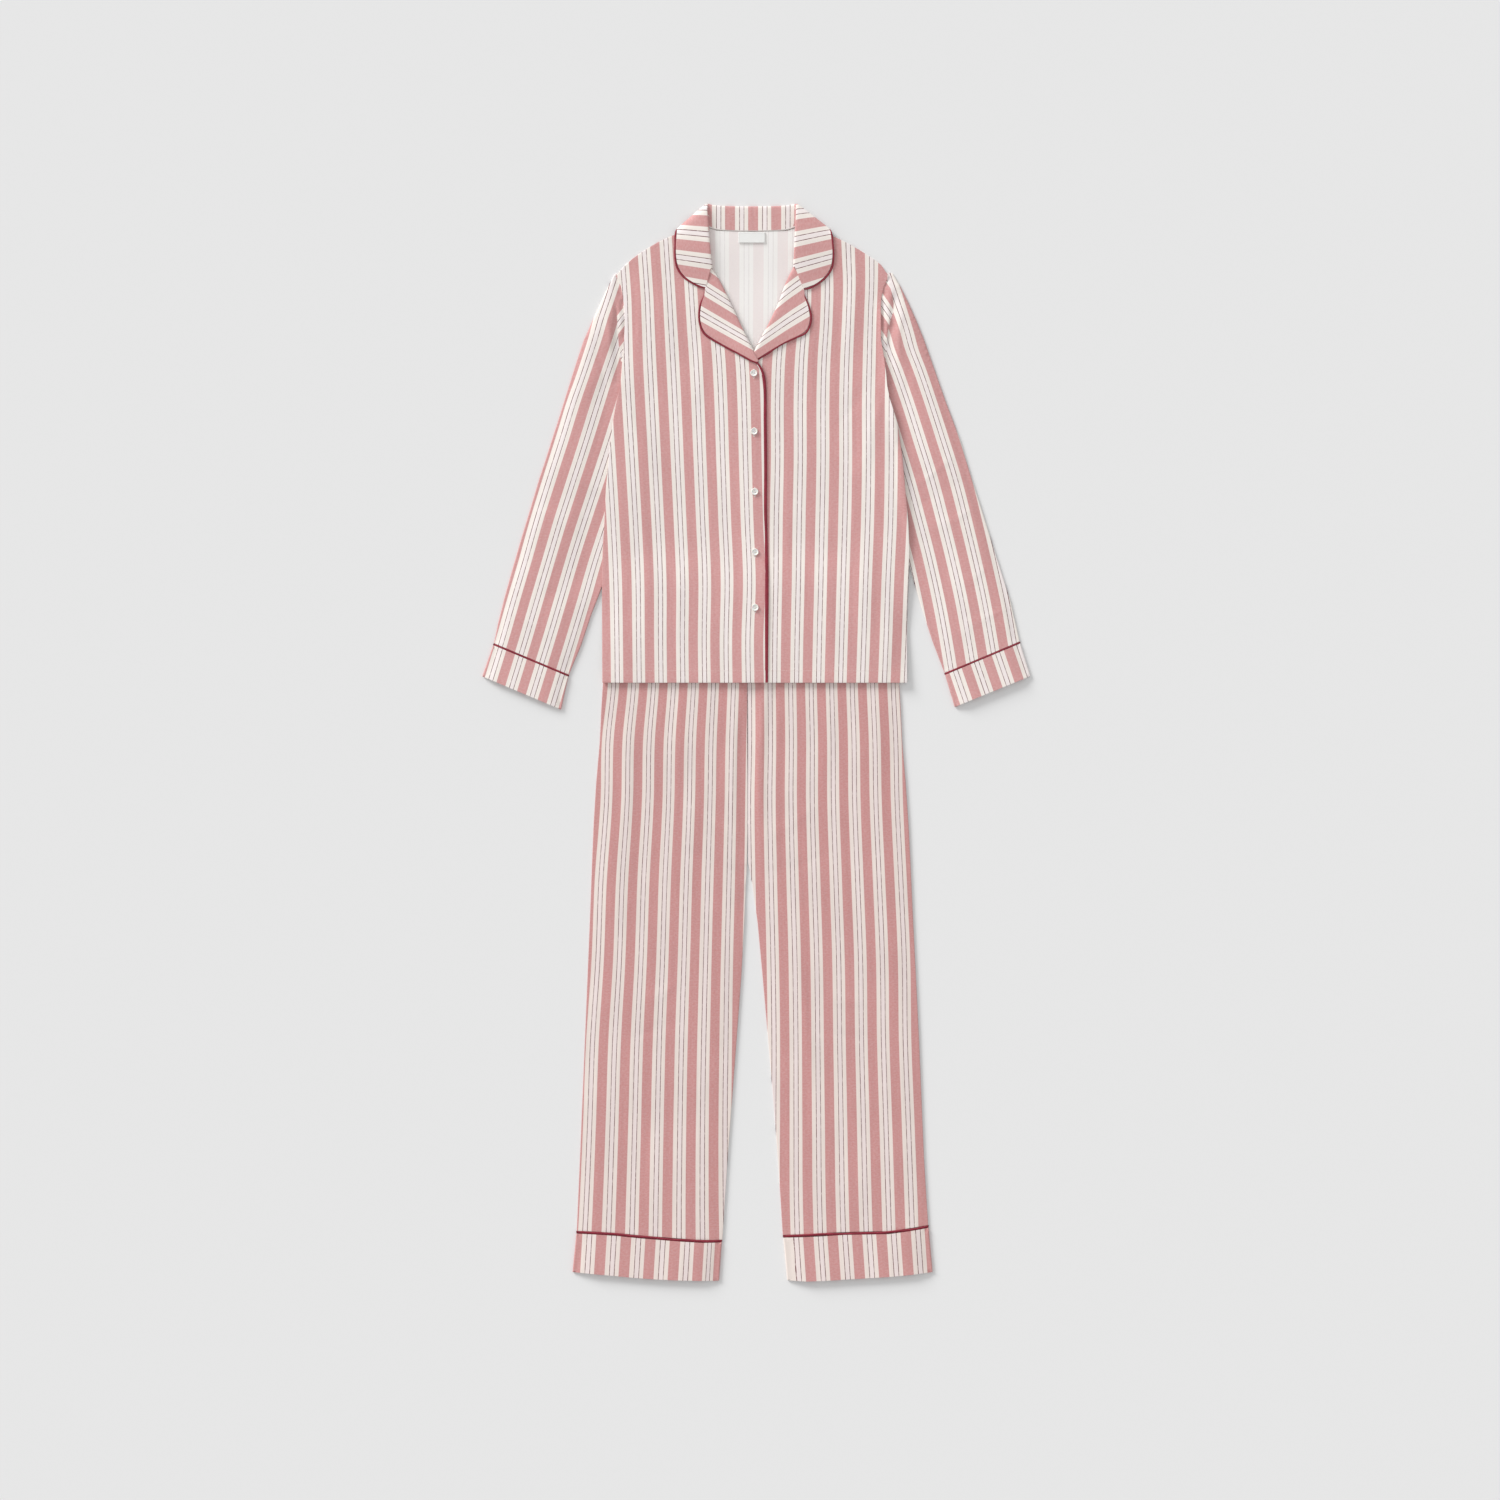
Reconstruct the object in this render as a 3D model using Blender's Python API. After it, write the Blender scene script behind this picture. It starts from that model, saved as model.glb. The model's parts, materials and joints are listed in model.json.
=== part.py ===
"""A pyjama jacket and trousers laid flat on a table, as separate cut pieces of cloth.

The jacket lies on the waist of the trousers. X runs to the wearer's left, Y from the hems to the
collar and Z up from the table. Tables and sizes are in millimetres, and meshes are made in metres.
"""

import math

import bmesh
import bpy
import numpy as np

MM = 0.001
MERGE = 0.00001  # metres within which points of a mesh are one

# Driving sizes, in mm
WALL = 1.2  # one layer of brushed cotton with its turnings
DOUBLE = 2.0  # collar and lapels, two layers turned out
CUFF_WALL = 1.7  # cuffs and waistband, cloth folded double
SEAM = 0.3  # between two pieces at a seam
EASE = 0.8  # between two layers that lie on each other, at their edges
FOLD_RADIUS = 1.5  # of the collar's rolled edge
ROLL_RADIUS = 1.4  # of the lapels'
LAPEL_EASE = 0.4  # height of a lapel's roll line above the under side of its front
PIPING_WIDTH = 2.4
PIPING_HEIGHT = 1.6
SLEEVE_PIPING = 2.4  # length of the piped band round a sleeve
LEG_PIPING = 3.2
PIPING_PROUD = 0.5  # how far a piped band stands out past its tube's folded edges
BUTTON_DIAMETER = 10.5
BUTTON_THICKNESS = 2.2
BUTTON_DISH = 0.8  # depth of its face below its rim
HOLE_RADIUS = 0.8
HOLE_OUT = 1.5  # of a hole's centre from the button's
LABEL_SIZE = (40.0, 16.0)
LABEL_CENTRE = (-7.0, 757.5)
BODY_PUFF = 1.5  # how far the fronts stand off the back between the seams
PUFF_RISE = 34.0  # and how far from the side seam they reach that height
LEG_PUFF = 1.9
SLEEVE_HEIGHT = 5.4
SLEEVE_CUFF_HEIGHT = 6.8
LEG_CUFF_HEIGHT = 7.0
SLEEVE_PIPING_HEIGHTS = (4.2, 6.2)  # of the piped band, at its edges and between them
LEG_PIPING_HEIGHTS = (4.0, 6.2)
LEG_MARGIN = 0.13  # share of a tube's width over which its upper face rises from a fold
SLEEVE_MARGIN = 0.16

# Heights at which the jacket lies on what is under it, and how far it slopes down from there
ON_TROUSERS = 4.4
ON_SLEEVE = 3.5
ON_COLLAR = 2.7
LAP = WALL + SEAM + 0.3  # of the right front over the left one
SLOPE = 45.0
SIDE_SLOPE = 30.0

HEM_Y = 90.0
UNDERARM_Y = 528.0
SHOULDER_TIP_Y = 700.0
NECK_POINT_Y = 778.5
WAIST_SEAM_Y = 205.0
WAIST_TOP_Y = 237.0
CENTRE_BACK_X = -6.6

# Heights of the jacket's rows at its side, hem to shoulder
BODY_ROWS = (
    90, 130, 170, 205, 237, 256, 274, 292, 330, 380, 430, 480, 515, 535,
    555, 578, 604, 630, 652, 670, 685, 700,
)
# and at the free edge of a front
FREE_ROWS = BODY_ROWS[:14] + (560, 587, 620, 656, 690, 711, 735, NECK_POINT_Y)

# Side seam and armhole seam: x at a height y
RIGHT_EDGE = (
    # x, y
    (-230.8, 90),
    (-231.4, 232),
    (-230.1, 295),
    (-226.7, 348),
    (-224.7, 400),
    (-218.1, 451),
    (-212.4, 503),
    (-206.1, 525),
    (-203.5, 540),
    (-200.4, 586),
    (-197.4, 617),
    (-197.4, 641),
    (-199.7, 663),
    (-202.8, 684),
    (-210.8, 700),
)
LEFT_EDGE = (
    # x, y
    (225.9, 90),
    (225.9, 184),
    (228.5, 261),
    (229.4, 298),
    (224.4, 364),
    (219.9, 418),
    (212.4, 474),
    (204.5, 503),
    (197.0, 526),
    (195.0, 548),
    (192.8, 571),
    (186.8, 601),
    (186.6, 655),
    (188.1, 672),
    (191.8, 686),
    (198.5, 700),
)

# Shoulder seams and back neck seam, from the right shoulder to the left
BACK_TOP = (
    # x, y
    (-210.8, 700.0),
    (-195.2, 718.3),
    (-180.8, 729.9),
    (-160.7, 743.2),
    (-143.4, 752.8),
    (-121.5, 762.4),
    (-98.0, 770.5),
    (-79.4, 778.5),
    (-73.5, 773.0),
    (-60.0, 768.2),
    (-7.0, 766.6),
    (46.5, 768.2),
    (60.0, 773.0),
    (66.0, 778.5),
    (88.0, 769.5),
    (110.0, 761.5),
    (128.1, 753.8),
    (147.3, 743.2),
    (166.3, 731.8),
    (185.6, 718.5),
    (198.5, 700.0),
)
# Columns of the back where its outline turns, as x along the top
BACK_COLUMNS = (
    -210.8, -205, -195.2, -178, -153, -121.5, -98, -79.4, -73.5, -60, -33, -7,
    20, 46.5, 60, 66, 88, 110, 141, 166.3, 184, 193, 198.5,
)

# Free edge of the right front: placket, roll line of the lapel, front neck seam
RIGHT_FRONT_EDGE = (
    # x, y
    (13.6, 90),
    (14.0, 237),
    (13.4, 294),
    (12.2, 352),
    (12.4, 409),
    (11.6, 486),
    (11.2, 532),
    (8.0, 556),
    (1.5, 571),
    (-6.0, 585),
    (-22.4, 616),
    (-41.2, 658),
    (-57.5, 692),
    (-71.0, 711),
    (-79.6, 720),
    (-85.2, 729),
    (-87.6, 739.5),
    (-88.4, 751.5),
    (-87.2, 765.0),
    (-84.6, 773.0),
    (-82.4, 778.5),
)
# Free edge of the left front, hidden under the right one below the lapels
LEFT_FRONT_EDGE = (
    # x, y
    (-20.0, 90),
    (-20.0, 500),
    (-18.5, 548),
    (-9.0, 572),
    (1.0, 588),
    (18.2, 622),
    (37.8, 658),
    (45.6, 685),
    (50.8, 697),
    (59.4, 711),
    (66.6, 720),
    (71.6, 729),
    (74.0, 739.5),
    (75.0, 751.5),
    (73.6, 765.0),
    (71.2, 773.0),
    (69.0, 778.5),
)
FRONT_COLUMNS = (0, 0.03, 0.09, 0.19, 0.33, 0.48, 0.62, 0.74, 0.81, 0.87, 1)

# Collar, from the centre back to the notch: neck seam, fold of the stand, free edge
RIGHT_COLLAR = (
    # neck x, y, fold x, y, free x, y
    (-38.1, 768.8, -38.1, 803.1, -41.1, 749.0),
    (-59.1, 770.4, -57.6, 804.2, -74.1, 747.5),
    (-69.6, 774.0, -67.4, 805.4, -98.1, 752.0),
    (-76.4, 780.0, -71.9, 806.8, -114.6, 766.4),
    (-78.9, 784.5, -73.8, 806.0, -117.6, 770.4),
    (-80.6, 780.5, -74.4, 801.4, -119.2, 764.6),
    (-80.6, 766.4, -73.4, 787.4, -120.0, 745.4),
    (-81.2, 751.4, -72.5, 766.4, -120.2, 728.9),
    (-79.8, 739.4, -71.1, 748.4, -117.0, 712.0),
    (-76.6, 728.9, -69.6, 733.4, -107.6, 699.2),
    (-72.6, 720.6, -68.3, 721.4, -95.9, 691.0),
    (-69.9, 713.9, -66.9, 714.0, -82.3, 684.8),
    (-69.0, 712.6, -67.2, 711.4, -76.4, 683.2),
)
LEFT_COLLAR = (
    # neck x, y, fold x, y, free x, y
    (24.9, 768.8, 24.9, 803.1, 27.9, 749.0),
    (45.9, 770.4, 43.7, 804.2, 62.4, 747.5),
    (55.7, 774.0, 52.7, 805.4, 86.4, 753.0),
    (62.4, 780.0, 57.4, 806.8, 104.6, 766.2),
    (65.6, 784.5, 59.6, 806.0, 108.0, 770.4),
    (67.6, 780.5, 60.2, 801.4, 110.2, 764.6),
    (67.0, 766.4, 59.4, 787.4, 112.9, 745.4),
    (68.0, 751.4, 58.8, 766.4, 113.8, 728.9),
    (66.6, 739.4, 58.2, 748.4, 111.0, 711.0),
    (63.4, 728.9, 57.6, 733.4, 101.0, 697.0),
    (60.6, 721.6, 57.0, 722.9, 88.5, 688.0),
    (59.2, 716.4, 56.6, 717.0, 77.0, 682.5),
    (58.2, 713.4, 56.2, 713.4, 71.0, 681.0),
)
CENTRE_BACK = (CENTRE_BACK_X, 768.3, CENTRE_BACK_X, 802.9, CENTRE_BACK_X, 749.6)
# How the collar turns over the shoulder: heights of neck seam, fold and free edge, above the table where it
# is under the back (0) and above the front where it lies on it (1), then the fold's lean and where it points
COLLAR_TURN = (
    # on front, neck z, fold z, free z, lean, heading
    (0, 4.0, 2.6, 1.0, -90, 90),
    (0, 4.0, 2.6, 1.0, -90, 88),
    (0, 4.0, 2.7, 1.0, -88, 82),
    (0, 4.2, 3.2, 1.1, -60, 66),
    (0, 4.8, 5.2, 3.8, 0, 45),
    (1, 0.0, 2.2, 1.6, 60, 20),
    (1, -0.3, 3.0, 1.7, 88, 6),
    (1, -0.3, 3.1, 1.7, 90, 2),
    (1, -0.3, 3.1, 1.7, 90, 0),
    (1, -0.3, 3.0, 1.7, 90, -6),
    (1, 0.0, 2.8, 1.7, 90, -12),
    (1, 0.6, 2.6, 1.7, 90, -20),
    (1, 1.0, 2.6, 1.7, 90, -24),
)

# Lapels, from the gorge seam to the break: roll line, free edge
RIGHT_LAPEL = (
    # roll x, y, free x, y
    (-66.8, 709.4, -73.2, 681.6),
    (-61.5, 702.5, -76.6, 669.5),
    (-55.0, 692.3, -82.2, 657.0),
    (-47.0, 675.8, -84.4, 641.0),
    (-39.0, 658.8, -82.6, 626.0),
    (-31.0, 641.8, -77.2, 614.6),
    (-23.0, 624.8, -64.8, 605.6),
    (-15.0, 608.2, -45.8, 595.0),
    (-7.5, 594.0, -26.6, 584.8),
    (-0.5, 581.2, -9.2, 575.0),
)
LEFT_LAPEL = (
    # roll x, y, free x, y
    (56.2, 711.8, 68.0, 680.6),
    (51.6, 704.5, 71.2, 667.0),
    (45.0, 691.5, 76.6, 654.5),
    (39.6, 676.5, 80.2, 639.5),
    (34.2, 660.5, 78.8, 626.4),
    (26.8, 645.0, 72.8, 615.6),
    (19.4, 630.0, 60.6, 609.6),
    (12.0, 615.4, 43.0, 602.0),
    (6.4, 603.6, 27.0, 592.6),
    (3.2, 596.8, 15.4, 584.6),
)
# The right front's piping goes on from the lapel down the placket
PLACKET_PIPING = (
    # x, y
    (0.5, 569.5),
    (6.4, 562.0),
    (10.9, 550.0),
    (12.9, 532.0),
    (13.4, 486.0),
    (14.1, 409.0),
    (13.9, 352.0),
    (15.1, 294.0),
    (15.8, 237.0),
    (15.3, 91.0),
)
BUTTONS = (
    # x, y
    (-3.9, 554.2),
    (-3.4, 466.9),
    (-2.4, 376.5),
    (-1.9, 285.9),
    (-1.9, 202.7),
)

# Sleeves, shoulder to cuff seam: folded outer edge, then the armhole seam or the inner edge, and 1 where the
# sleeve is a closed tube
RIGHT_SLEEVE = (
    # outer x, y, inner x, y, closed
    (-213.6, 697.0, -209.6, 696.4, 0),
    (-221.0, 686.5, -203.4, 683.6, 0),
    (-231.6, 664.3, -200.1, 662.0, 0),
    (-245.1, 634.3, -197.8, 640.0, 0),
    (-258.6, 604.3, -197.8, 616.9, 0),
    (-268.6, 574.3, -200.8, 586.0, 0),
    (-278.1, 544.3, -203.2, 560.0, 0),
    (-287.6, 514.0, -206.2, 531.0, 1),
    (-297.0, 484.0, -199.0, 497.0, 1),
    (-306.6, 454.3, -192.5, 463.0, 1),
    (-316.2, 424.0, -190.0, 425.0, 1),
    (-326.1, 394.3, -191.0, 385.0, 1),
    (-339.2, 350.0, -199.0, 335.0, 1),
    (-353.1, 304.3, -212.5, 287.0, 1),
    (-366.2, 259.0, -229.5, 238.0, 1),
    (-378.6, 214.3, -247.0, 193.0, 1),
    (-387.6, 178.0, -263.0, 145.0, 1),
    (-393.5, 149.5, -281.0, 102.3, 1),
)
LEFT_SLEEVE = (
    # outer x, y, inner x, y, closed
    (202.6, 697.6, 197.6, 697.0, 0),
    (213.6, 688.5, 192.4, 686.0, 0),
    (225.9, 664.3, 187.6, 664.0, 0),
    (239.4, 634.3, 187.0, 641.0, 0),
    (251.4, 604.3, 187.2, 612.0, 0),
    (262.0, 574.3, 192.8, 580.0, 0),
    (272.4, 544.3, 195.6, 556.0, 0),
    (283.0, 514.0, 197.4, 531.0, 1),
    (294.4, 484.0, 192.0, 497.0, 1),
    (305.4, 454.3, 188.5, 463.0, 1),
    (314.4, 424.0, 188.0, 425.0, 1),
    (323.4, 394.3, 193.0, 385.0, 1),
    (337.8, 350.0, 204.0, 335.0, 1),
    (351.9, 304.3, 221.0, 290.0, 1),
    (366.4, 259.0, 234.6, 246.0, 1),
    (380.4, 214.3, 246.6, 205.0, 1),
    (388.0, 182.0, 264.0, 152.0, 1),
    (394.6, 152.0, 281.8, 104.8, 1),
)
# Cuffs of the sleeves: piping seam and open end, outer then inner corner
RIGHT_SLEEVE_CUFF = ((-394.2, 148.0, -281.8, 100.9), (-411.0, 99.8, -292.8, 49.9))
LEFT_SLEEVE_CUFF = ((395.2, 150.6, 282.6, 103.4), (411.0, 100.2, 297.3, 53.8))
# Heights added to a sleeve's upper layer: a fold from one point to another
SLEEVE_FOLDS = (
    # from x, y, to x, y, half width, height
    (206.4, 650.0, 193.6, 560.0, 6.0, 1.8),
    (-217.0, 648.0, -205.0, 575.0, 8.0, 1.0),
)

# Trousers: outer seam, then centre seam and inner leg seam, cuff seam to waistband
TROUSER_ROWS = (-732, -690, -620, -530, -440, -350, -270, -215, -180, -120, -60, 0, 50, 90, 130, 170, 205)
RIGHT_OUTSEAM = (
    # x, y
    (-269.3, -732),
    (-264.6, -626),
    (-257.1, -446),
    (-249.6, -266),
    (-242.1, -86),
    (-234.6, 4),
    (-230.1, 90),
    (-216.6, 154),
    (-203.0, 205),
)
LEFT_OUTSEAM = (
    # x, y
    (257.6, -732),
    (251.4, -626),
    (243.9, -446),
    (234.9, -266),
    (225.9, -86),
    (218.4, 4),
    (213.9, 90),
    (200.4, 154),
    (184.0, 205),
)
RIGHT_INSEAM = (
    # x, y
    (-51.0, -732),
    (-45.6, -656),
    (-41.1, -596),
    (-32.1, -476),
    (-23.1, -356),
    (-18.0, -266),
    (-16.4, -216),
    (-14.6, -182),
    (-14.3, -120),
    (-14.3, 205),
)
LEFT_INSEAM = (
    # x, y
    (39.6, -732),
    (34.7, -656),
    (30.2, -596),
    (20.4, -476),
    (9.9, -356),
    (1.5, -266),
    (-5.4, -216),
    (-11.8, -182),
    (-13.9, -120),
    (-13.9, 205),
)
LEG_COLUMNS = (0, 0.035, 0.11, 0.27, 0.46, 0.64, 0.82, 0.94, 1)
# Seam between leg and cuff, then the cuff's open end, from the outer leg inwards
RIGHT_CUFF_SEAM = (
    # x, y
    (-269.7, -734.0),
    (-225.8, -735.8),
    (-174.0, -740.8),
    (-139.7, -743.5),
    (-70.7, -747.8),
    (-51.8, -747.0),
)
RIGHT_CUFF_END = (
    # x, y
    (-275.7, -793.3),
    (-225.8, -797.7),
    (-148.2, -804.2),
    (-100.0, -806.0),
    (-56.1, -806.4),
)
LEFT_CUFF_SEAM = (
    # x, y
    (258.0, -725.4),
    (227.1, -730.5),
    (192.6, -734.8),
    (141.0, -735.2),
    (89.2, -738.3),
    (40.2, -740.1),
)
LEFT_CUFF_END = (
    # x, y
    (264.2, -793.3),
    (209.8, -799.5),
    (141.0, -803.7),
    (75.5, -807.2),
    (46.2, -805.5),
)
WAIST_SIDES = (-203.0, 184.0)  # x of the waistband's right and left ends
WAIST_IN = 8.0  # the elastic draws the top of the waistband in by this much each side

STRIPE_COLOUR = (0.72, 0.42, 0.42, 1.0)
PIPING_COLOUR = (0.28, 0.02, 0.05, 1.0)
WHITE = (0.85, 0.85, 0.83, 1.0)
CLOTH_ROUGHNESS = 0.9
PIPING_ROUGHNESS = 0.7


def step(value, start, end):
    """0 at start and 1 at end, with a soft S between them."""
    t = np.clip((value - start) / (end - start), 0.0, 1.0)
    return t * t * (3 - 2 * t)


def through(knots, values, at):
    """Values at `at` on a smooth curve through the knots that never swings past them."""
    knots, values = np.asarray(knots, float), np.asarray(values, float)
    at = np.clip(at, knots[0], knots[-1])
    gaps = np.diff(knots)
    rises = np.diff(values) / gaps
    slopes = np.concatenate([rises[:1], np.zeros(len(rises) - 1), rises[-1:]])
    for i in range(1, len(rises)):
        if rises[i - 1] * rises[i] > 0:
            near, far = 2 * gaps[i] + gaps[i - 1], gaps[i] + 2 * gaps[i - 1]
            slopes[i] = (near + far) / (near / rises[i - 1] + far / rises[i])
    i = np.clip(np.searchsorted(knots, at, side="right") - 1, 0, len(gaps) - 1)
    t = (at - knots[i]) / gaps[i]
    start = values[i] * (2 * t**3 - 3 * t**2 + 1) + gaps[i] * slopes[i] * (t**3 - 2 * t**2 + t)
    return start + values[i + 1] * (3 * t**2 - 2 * t**3) + gaps[i] * slopes[i + 1] * (t**3 - t**2)


def edge_x(table, y):
    """x of an edge table of (x, y) points at a height y."""
    xs, ys = np.array(table, float).T
    return through(ys, xs, y)


def along(table, share):
    """Point of a line of (x, y) points at a share of its length."""
    points = np.array(table, float)
    lengths = np.concatenate([[0], np.cumsum(np.linalg.norm(np.diff(points, axis=0), axis=1))])
    at = share * lengths[-1]
    return through(lengths, points[:, 0], at), through(lengths, points[:, 1], at)


# Heights of the layers


def inner_x(table, y):
    """x of a sleeve's inner edge, or of its armhole seam, at a height y."""
    rows = np.array(table, float)[::-1]
    return through(rows[:, 3], rows[:, 2], y)


def on_sleeve(x, y):
    """Rise of the jacket's sides where they lie on the sleeves."""
    reach = step(y, UNDERARM_Y + 52, UNDERARM_Y + 5) * step(y, 168, 222)
    right = inner_x(RIGHT_SLEEVE, y) + 4
    left = inner_x(LEFT_SLEEVE, y) - 4
    return ON_SLEEVE * reach * (1 - step(x, right, right + SLOPE) * step(-x, -left, -left + SLOPE))


def on_trousers(x, y):
    """Rise of the jacket where it lies on the trousers."""
    at = np.clip(y, HEM_Y, WAIST_SEAM_Y)
    right = edge_x(RIGHT_OUTSEAM, at) - 3
    left = edge_x(LEFT_OUTSEAM, at) + 3
    sides = step(x, right - SIDE_SLOPE, right) * step(-x, -left - SIDE_SLOPE, -left)
    return ON_TROUSERS * step(y, WAIST_TOP_Y + 55, WAIST_TOP_Y + 3) * sides


def on_collar(x, y):
    """Rise of the shoulders where they lie on the collar's under side."""
    return ON_COLLAR * step(y, 704, 742) * step(np.abs(x - CENTRE_BACK_X), 168, 128)


def back_under(x, y):
    """Under side of the back: on the table, a sleeve, the trousers or the collar, whichever is highest."""
    return np.maximum(np.maximum(on_sleeve(x, y), on_trousers(x, y)), on_collar(x, y))


def front_under(x, y, edge):
    """Under side of a front: on the back, and standing off it between the seams."""
    from_side = np.abs(edge_x(edge, np.clip(y, HEM_Y, SHOULDER_TIP_Y)) - x)
    off_seams = step(from_side, 0, PUFF_RISE) * step(NECK_POINT_Y - y, 0, 96)
    puff = BODY_PUFF * off_seams * (0.35 + 0.65 * step(y, HEM_Y, HEM_Y + 60))
    return back_under(x, y) + WALL + EASE + puff


def left_front_under(x, y):
    return front_under(x, y, LEFT_EDGE)


def right_front_under(x, y):
    """As on the left, but lifted by the left front where it laps over it."""
    return front_under(x, y, RIGHT_EDGE) + LAP * step(x, -44, -24) * step(y, 640, 600)


def front_top(x, y, side):
    """Top of the front on a side, -1 the right and 1 the left, as the collar and lapels meet it."""
    under = left_front_under if side > 0 else right_front_under
    return under(x, y) + WALL


def across(share, margin):
    """The rise of a tube's upper face between its two folded edges, 0 at them and 1 past a margin."""
    return step(share, 0, margin) * step(1 - share, 0, margin)


def leg_puff(share, y):
    """How far a leg's front stands off its back, less where the jacket lies on it."""
    return LEG_PUFF * across(share, LEG_MARGIN) * (0.15 + 0.85 * step(y, HEM_Y - 2, HEM_Y - 70))


# Meshes


def material(name, colour, roughness):
    made = bpy.data.materials.new(name)
    made.use_nodes = True
    shader = made.node_tree.nodes["Principled BSDF"]
    shader.inputs["Base Color"].default_value = colour
    shader.inputs["Roughness"].default_value = roughness
    shader.inputs["Metallic"].default_value = 0.0
    made.diffuse_color = colour
    return made


def finish(bm, name, colour, roughness):
    bmesh.ops.recalc_face_normals(bm, faces=bm.faces[:])
    mesh = bpy.data.meshes.new(name)
    bm.to_mesh(mesh)
    bm.free()
    mesh.shade_smooth()
    mesh.set_sharp_from_angle(angle=math.radians(40))
    made = bpy.data.objects.new(name, mesh)
    mesh.materials.append(material(name, colour, roughness))
    bpy.context.scene.collection.objects.link(made)
    made.parent = SET
    return made


def shell(name, columns, rows, outer, inner, colour=STRIPE_COLOUR, roughness=CLOTH_ROUGHNESS):
    """A wall of cloth: a grid laid on outer(column, row), with its other face on inner(column, row), in mm.

    Where the first and last columns meet, the grid closes into a tube.
    """
    bm = bmesh.new()
    bmesh.ops.create_grid(bm, x_segments=columns, y_segments=rows, size=0.5)
    column = bm.verts.layers.int.new("column")
    row = bm.verts.layers.int.new("row")
    for vert in bm.verts:
        vert[column] = round((vert.co.x + 0.5) * columns)
        vert[row] = round((vert.co.y + 0.5) * rows)
    for vert in bm.verts:
        vert.co = np.array(outer(vert[column], vert[row])) * MM
    bmesh.ops.remove_doubles(bm, verts=bm.verts[:], dist=MERGE)
    made = bmesh.ops.extrude_face_region(bm, geom=bm.faces[:], use_keep_orig=True)
    for vert in [item for item in made["geom"] if isinstance(item, bmesh.types.BMVert)]:
        vert.co = np.array(inner(vert[column], vert[row])) * MM
    return finish(bm, name, colour, roughness)


def panel(name, shares, place, under, rows):
    """A flat piece of cloth: place(share, row) gives its plan, under(x, y, share) its lower face."""

    def lower(column, row):
        x, y = place(shares[column], row)
        return x, y, float(under(x, y, shares[column]))

    def upper(column, row):
        x, y, z = lower(column, row)
        return x, y, z + WALL

    return shell(name, len(shares) - 1, rows, upper, lower)


def surface_normals(points):
    """Unit normals of a grid of points, rows by columns."""
    across = np.gradient(points, axis=1)
    down = np.gradient(points, axis=0)
    normals = np.cross(across, down)
    return normals / np.linalg.norm(normals, axis=2, keepdims=True)


def sheet(name, points, thickness, colour=STRIPE_COLOUR):
    """A wall of cloth about a grid of points, rows by columns, in mm."""
    half = surface_normals(points) * thickness / 2
    return shell(
        name,
        points.shape[1] - 1,
        points.shape[0] - 1,
        lambda column, row: points[row, column] + half[row, column],
        lambda column, row: points[row, column] - half[row, column],
        colour,
    )


def cord(name, path, width, height, sides=6):
    """A closed cord with an oval section along a path of points, in mm."""
    path = np.array(path, float)
    forward = np.gradient(path, axis=0)
    forward /= np.linalg.norm(forward, axis=1, keepdims=True)
    aside = np.cross(forward, (0, 0, 1))
    aside /= np.linalg.norm(aside, axis=1, keepdims=True)
    up = np.cross(aside, forward)
    bm = bmesh.new()
    rings = []
    for point, beside, above in zip(path, aside, up):
        ring = []
        for k in range(sides):
            turn = 2 * math.pi * (k + 0.5) / sides
            offset = beside * math.cos(turn) * width / 2 + above * math.sin(turn) * height / 2
            ring.append(bm.verts.new((point + offset) * MM))
        rings.append([bm.edges.new((a, b)) for a, b in zip(ring, ring[1:] + ring[:1])])
    for first, second in zip(rings, rings[1:]):
        bmesh.ops.bridge_loops(bm, edges=first + second)
    bmesh.ops.contextual_create(bm, geom=rings[0])
    bmesh.ops.contextual_create(bm, geom=rings[-1])
    return finish(bm, name, PIPING_COLOUR, PIPING_ROUGHNESS)


# Shares of a flattened tube's width: over the top, then back under it
TOP_SHARES = (0, 0.04, 0.13, 0.27, 0.42, 0.57, 0.72, 0.86, 0.955, 1)
UNDER_SHARES = (0.955, 0.72, 0.4, 0.13, 0.04, 0)


def flat_tube(
    name, place, rows, top, wall, closed=lambda row: True, colour=STRIPE_COLOUR, roughness=CLOTH_ROUGHNESS
):
    """A tube of cloth that lies flat. place(share, row) is its plan from the inner edge (0) to the outer (1),
    top(share, row) the height of its upper face, and closed(row) whether the inner edge is folded or open.
    """
    shares = TOP_SHARES + UNDER_SHARES
    last = len(shares) - 1
    edge_z = wall + SEAM / 2

    def at(column, row, inside):
        share = shares[column]
        upper = column < len(TOP_SHARES)
        x, y = place(share, row)
        folded = share == 1 or (share == 0 and closed(row))
        if folded:
            if inside:
                x2, y2 = place(1 - share, row)
                length = math.hypot(x2 - x, y2 - y)
                x, y = x + (x2 - x) / length * wall, y + (y2 - y) / length * wall
            return x, y, edge_z
        if upper:
            return x, y, top(share, row) - (wall if inside else 0)
        return x, y, wall if inside else 0.0

    return shell(
        name,
        last,
        rows,
        lambda column, row: at(column, row, False),
        lambda column, row: at(column, row, True),
        colour,
        roughness,
    )


# Pieces of the jacket


def top_share(y):
    """How far a row of the body follows the shoulder line rather than the hem."""
    return max(0.0, (y - UNDERARM_Y) / (SHOULDER_TIP_Y - UNDERARM_Y)) ** 1.3


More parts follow.
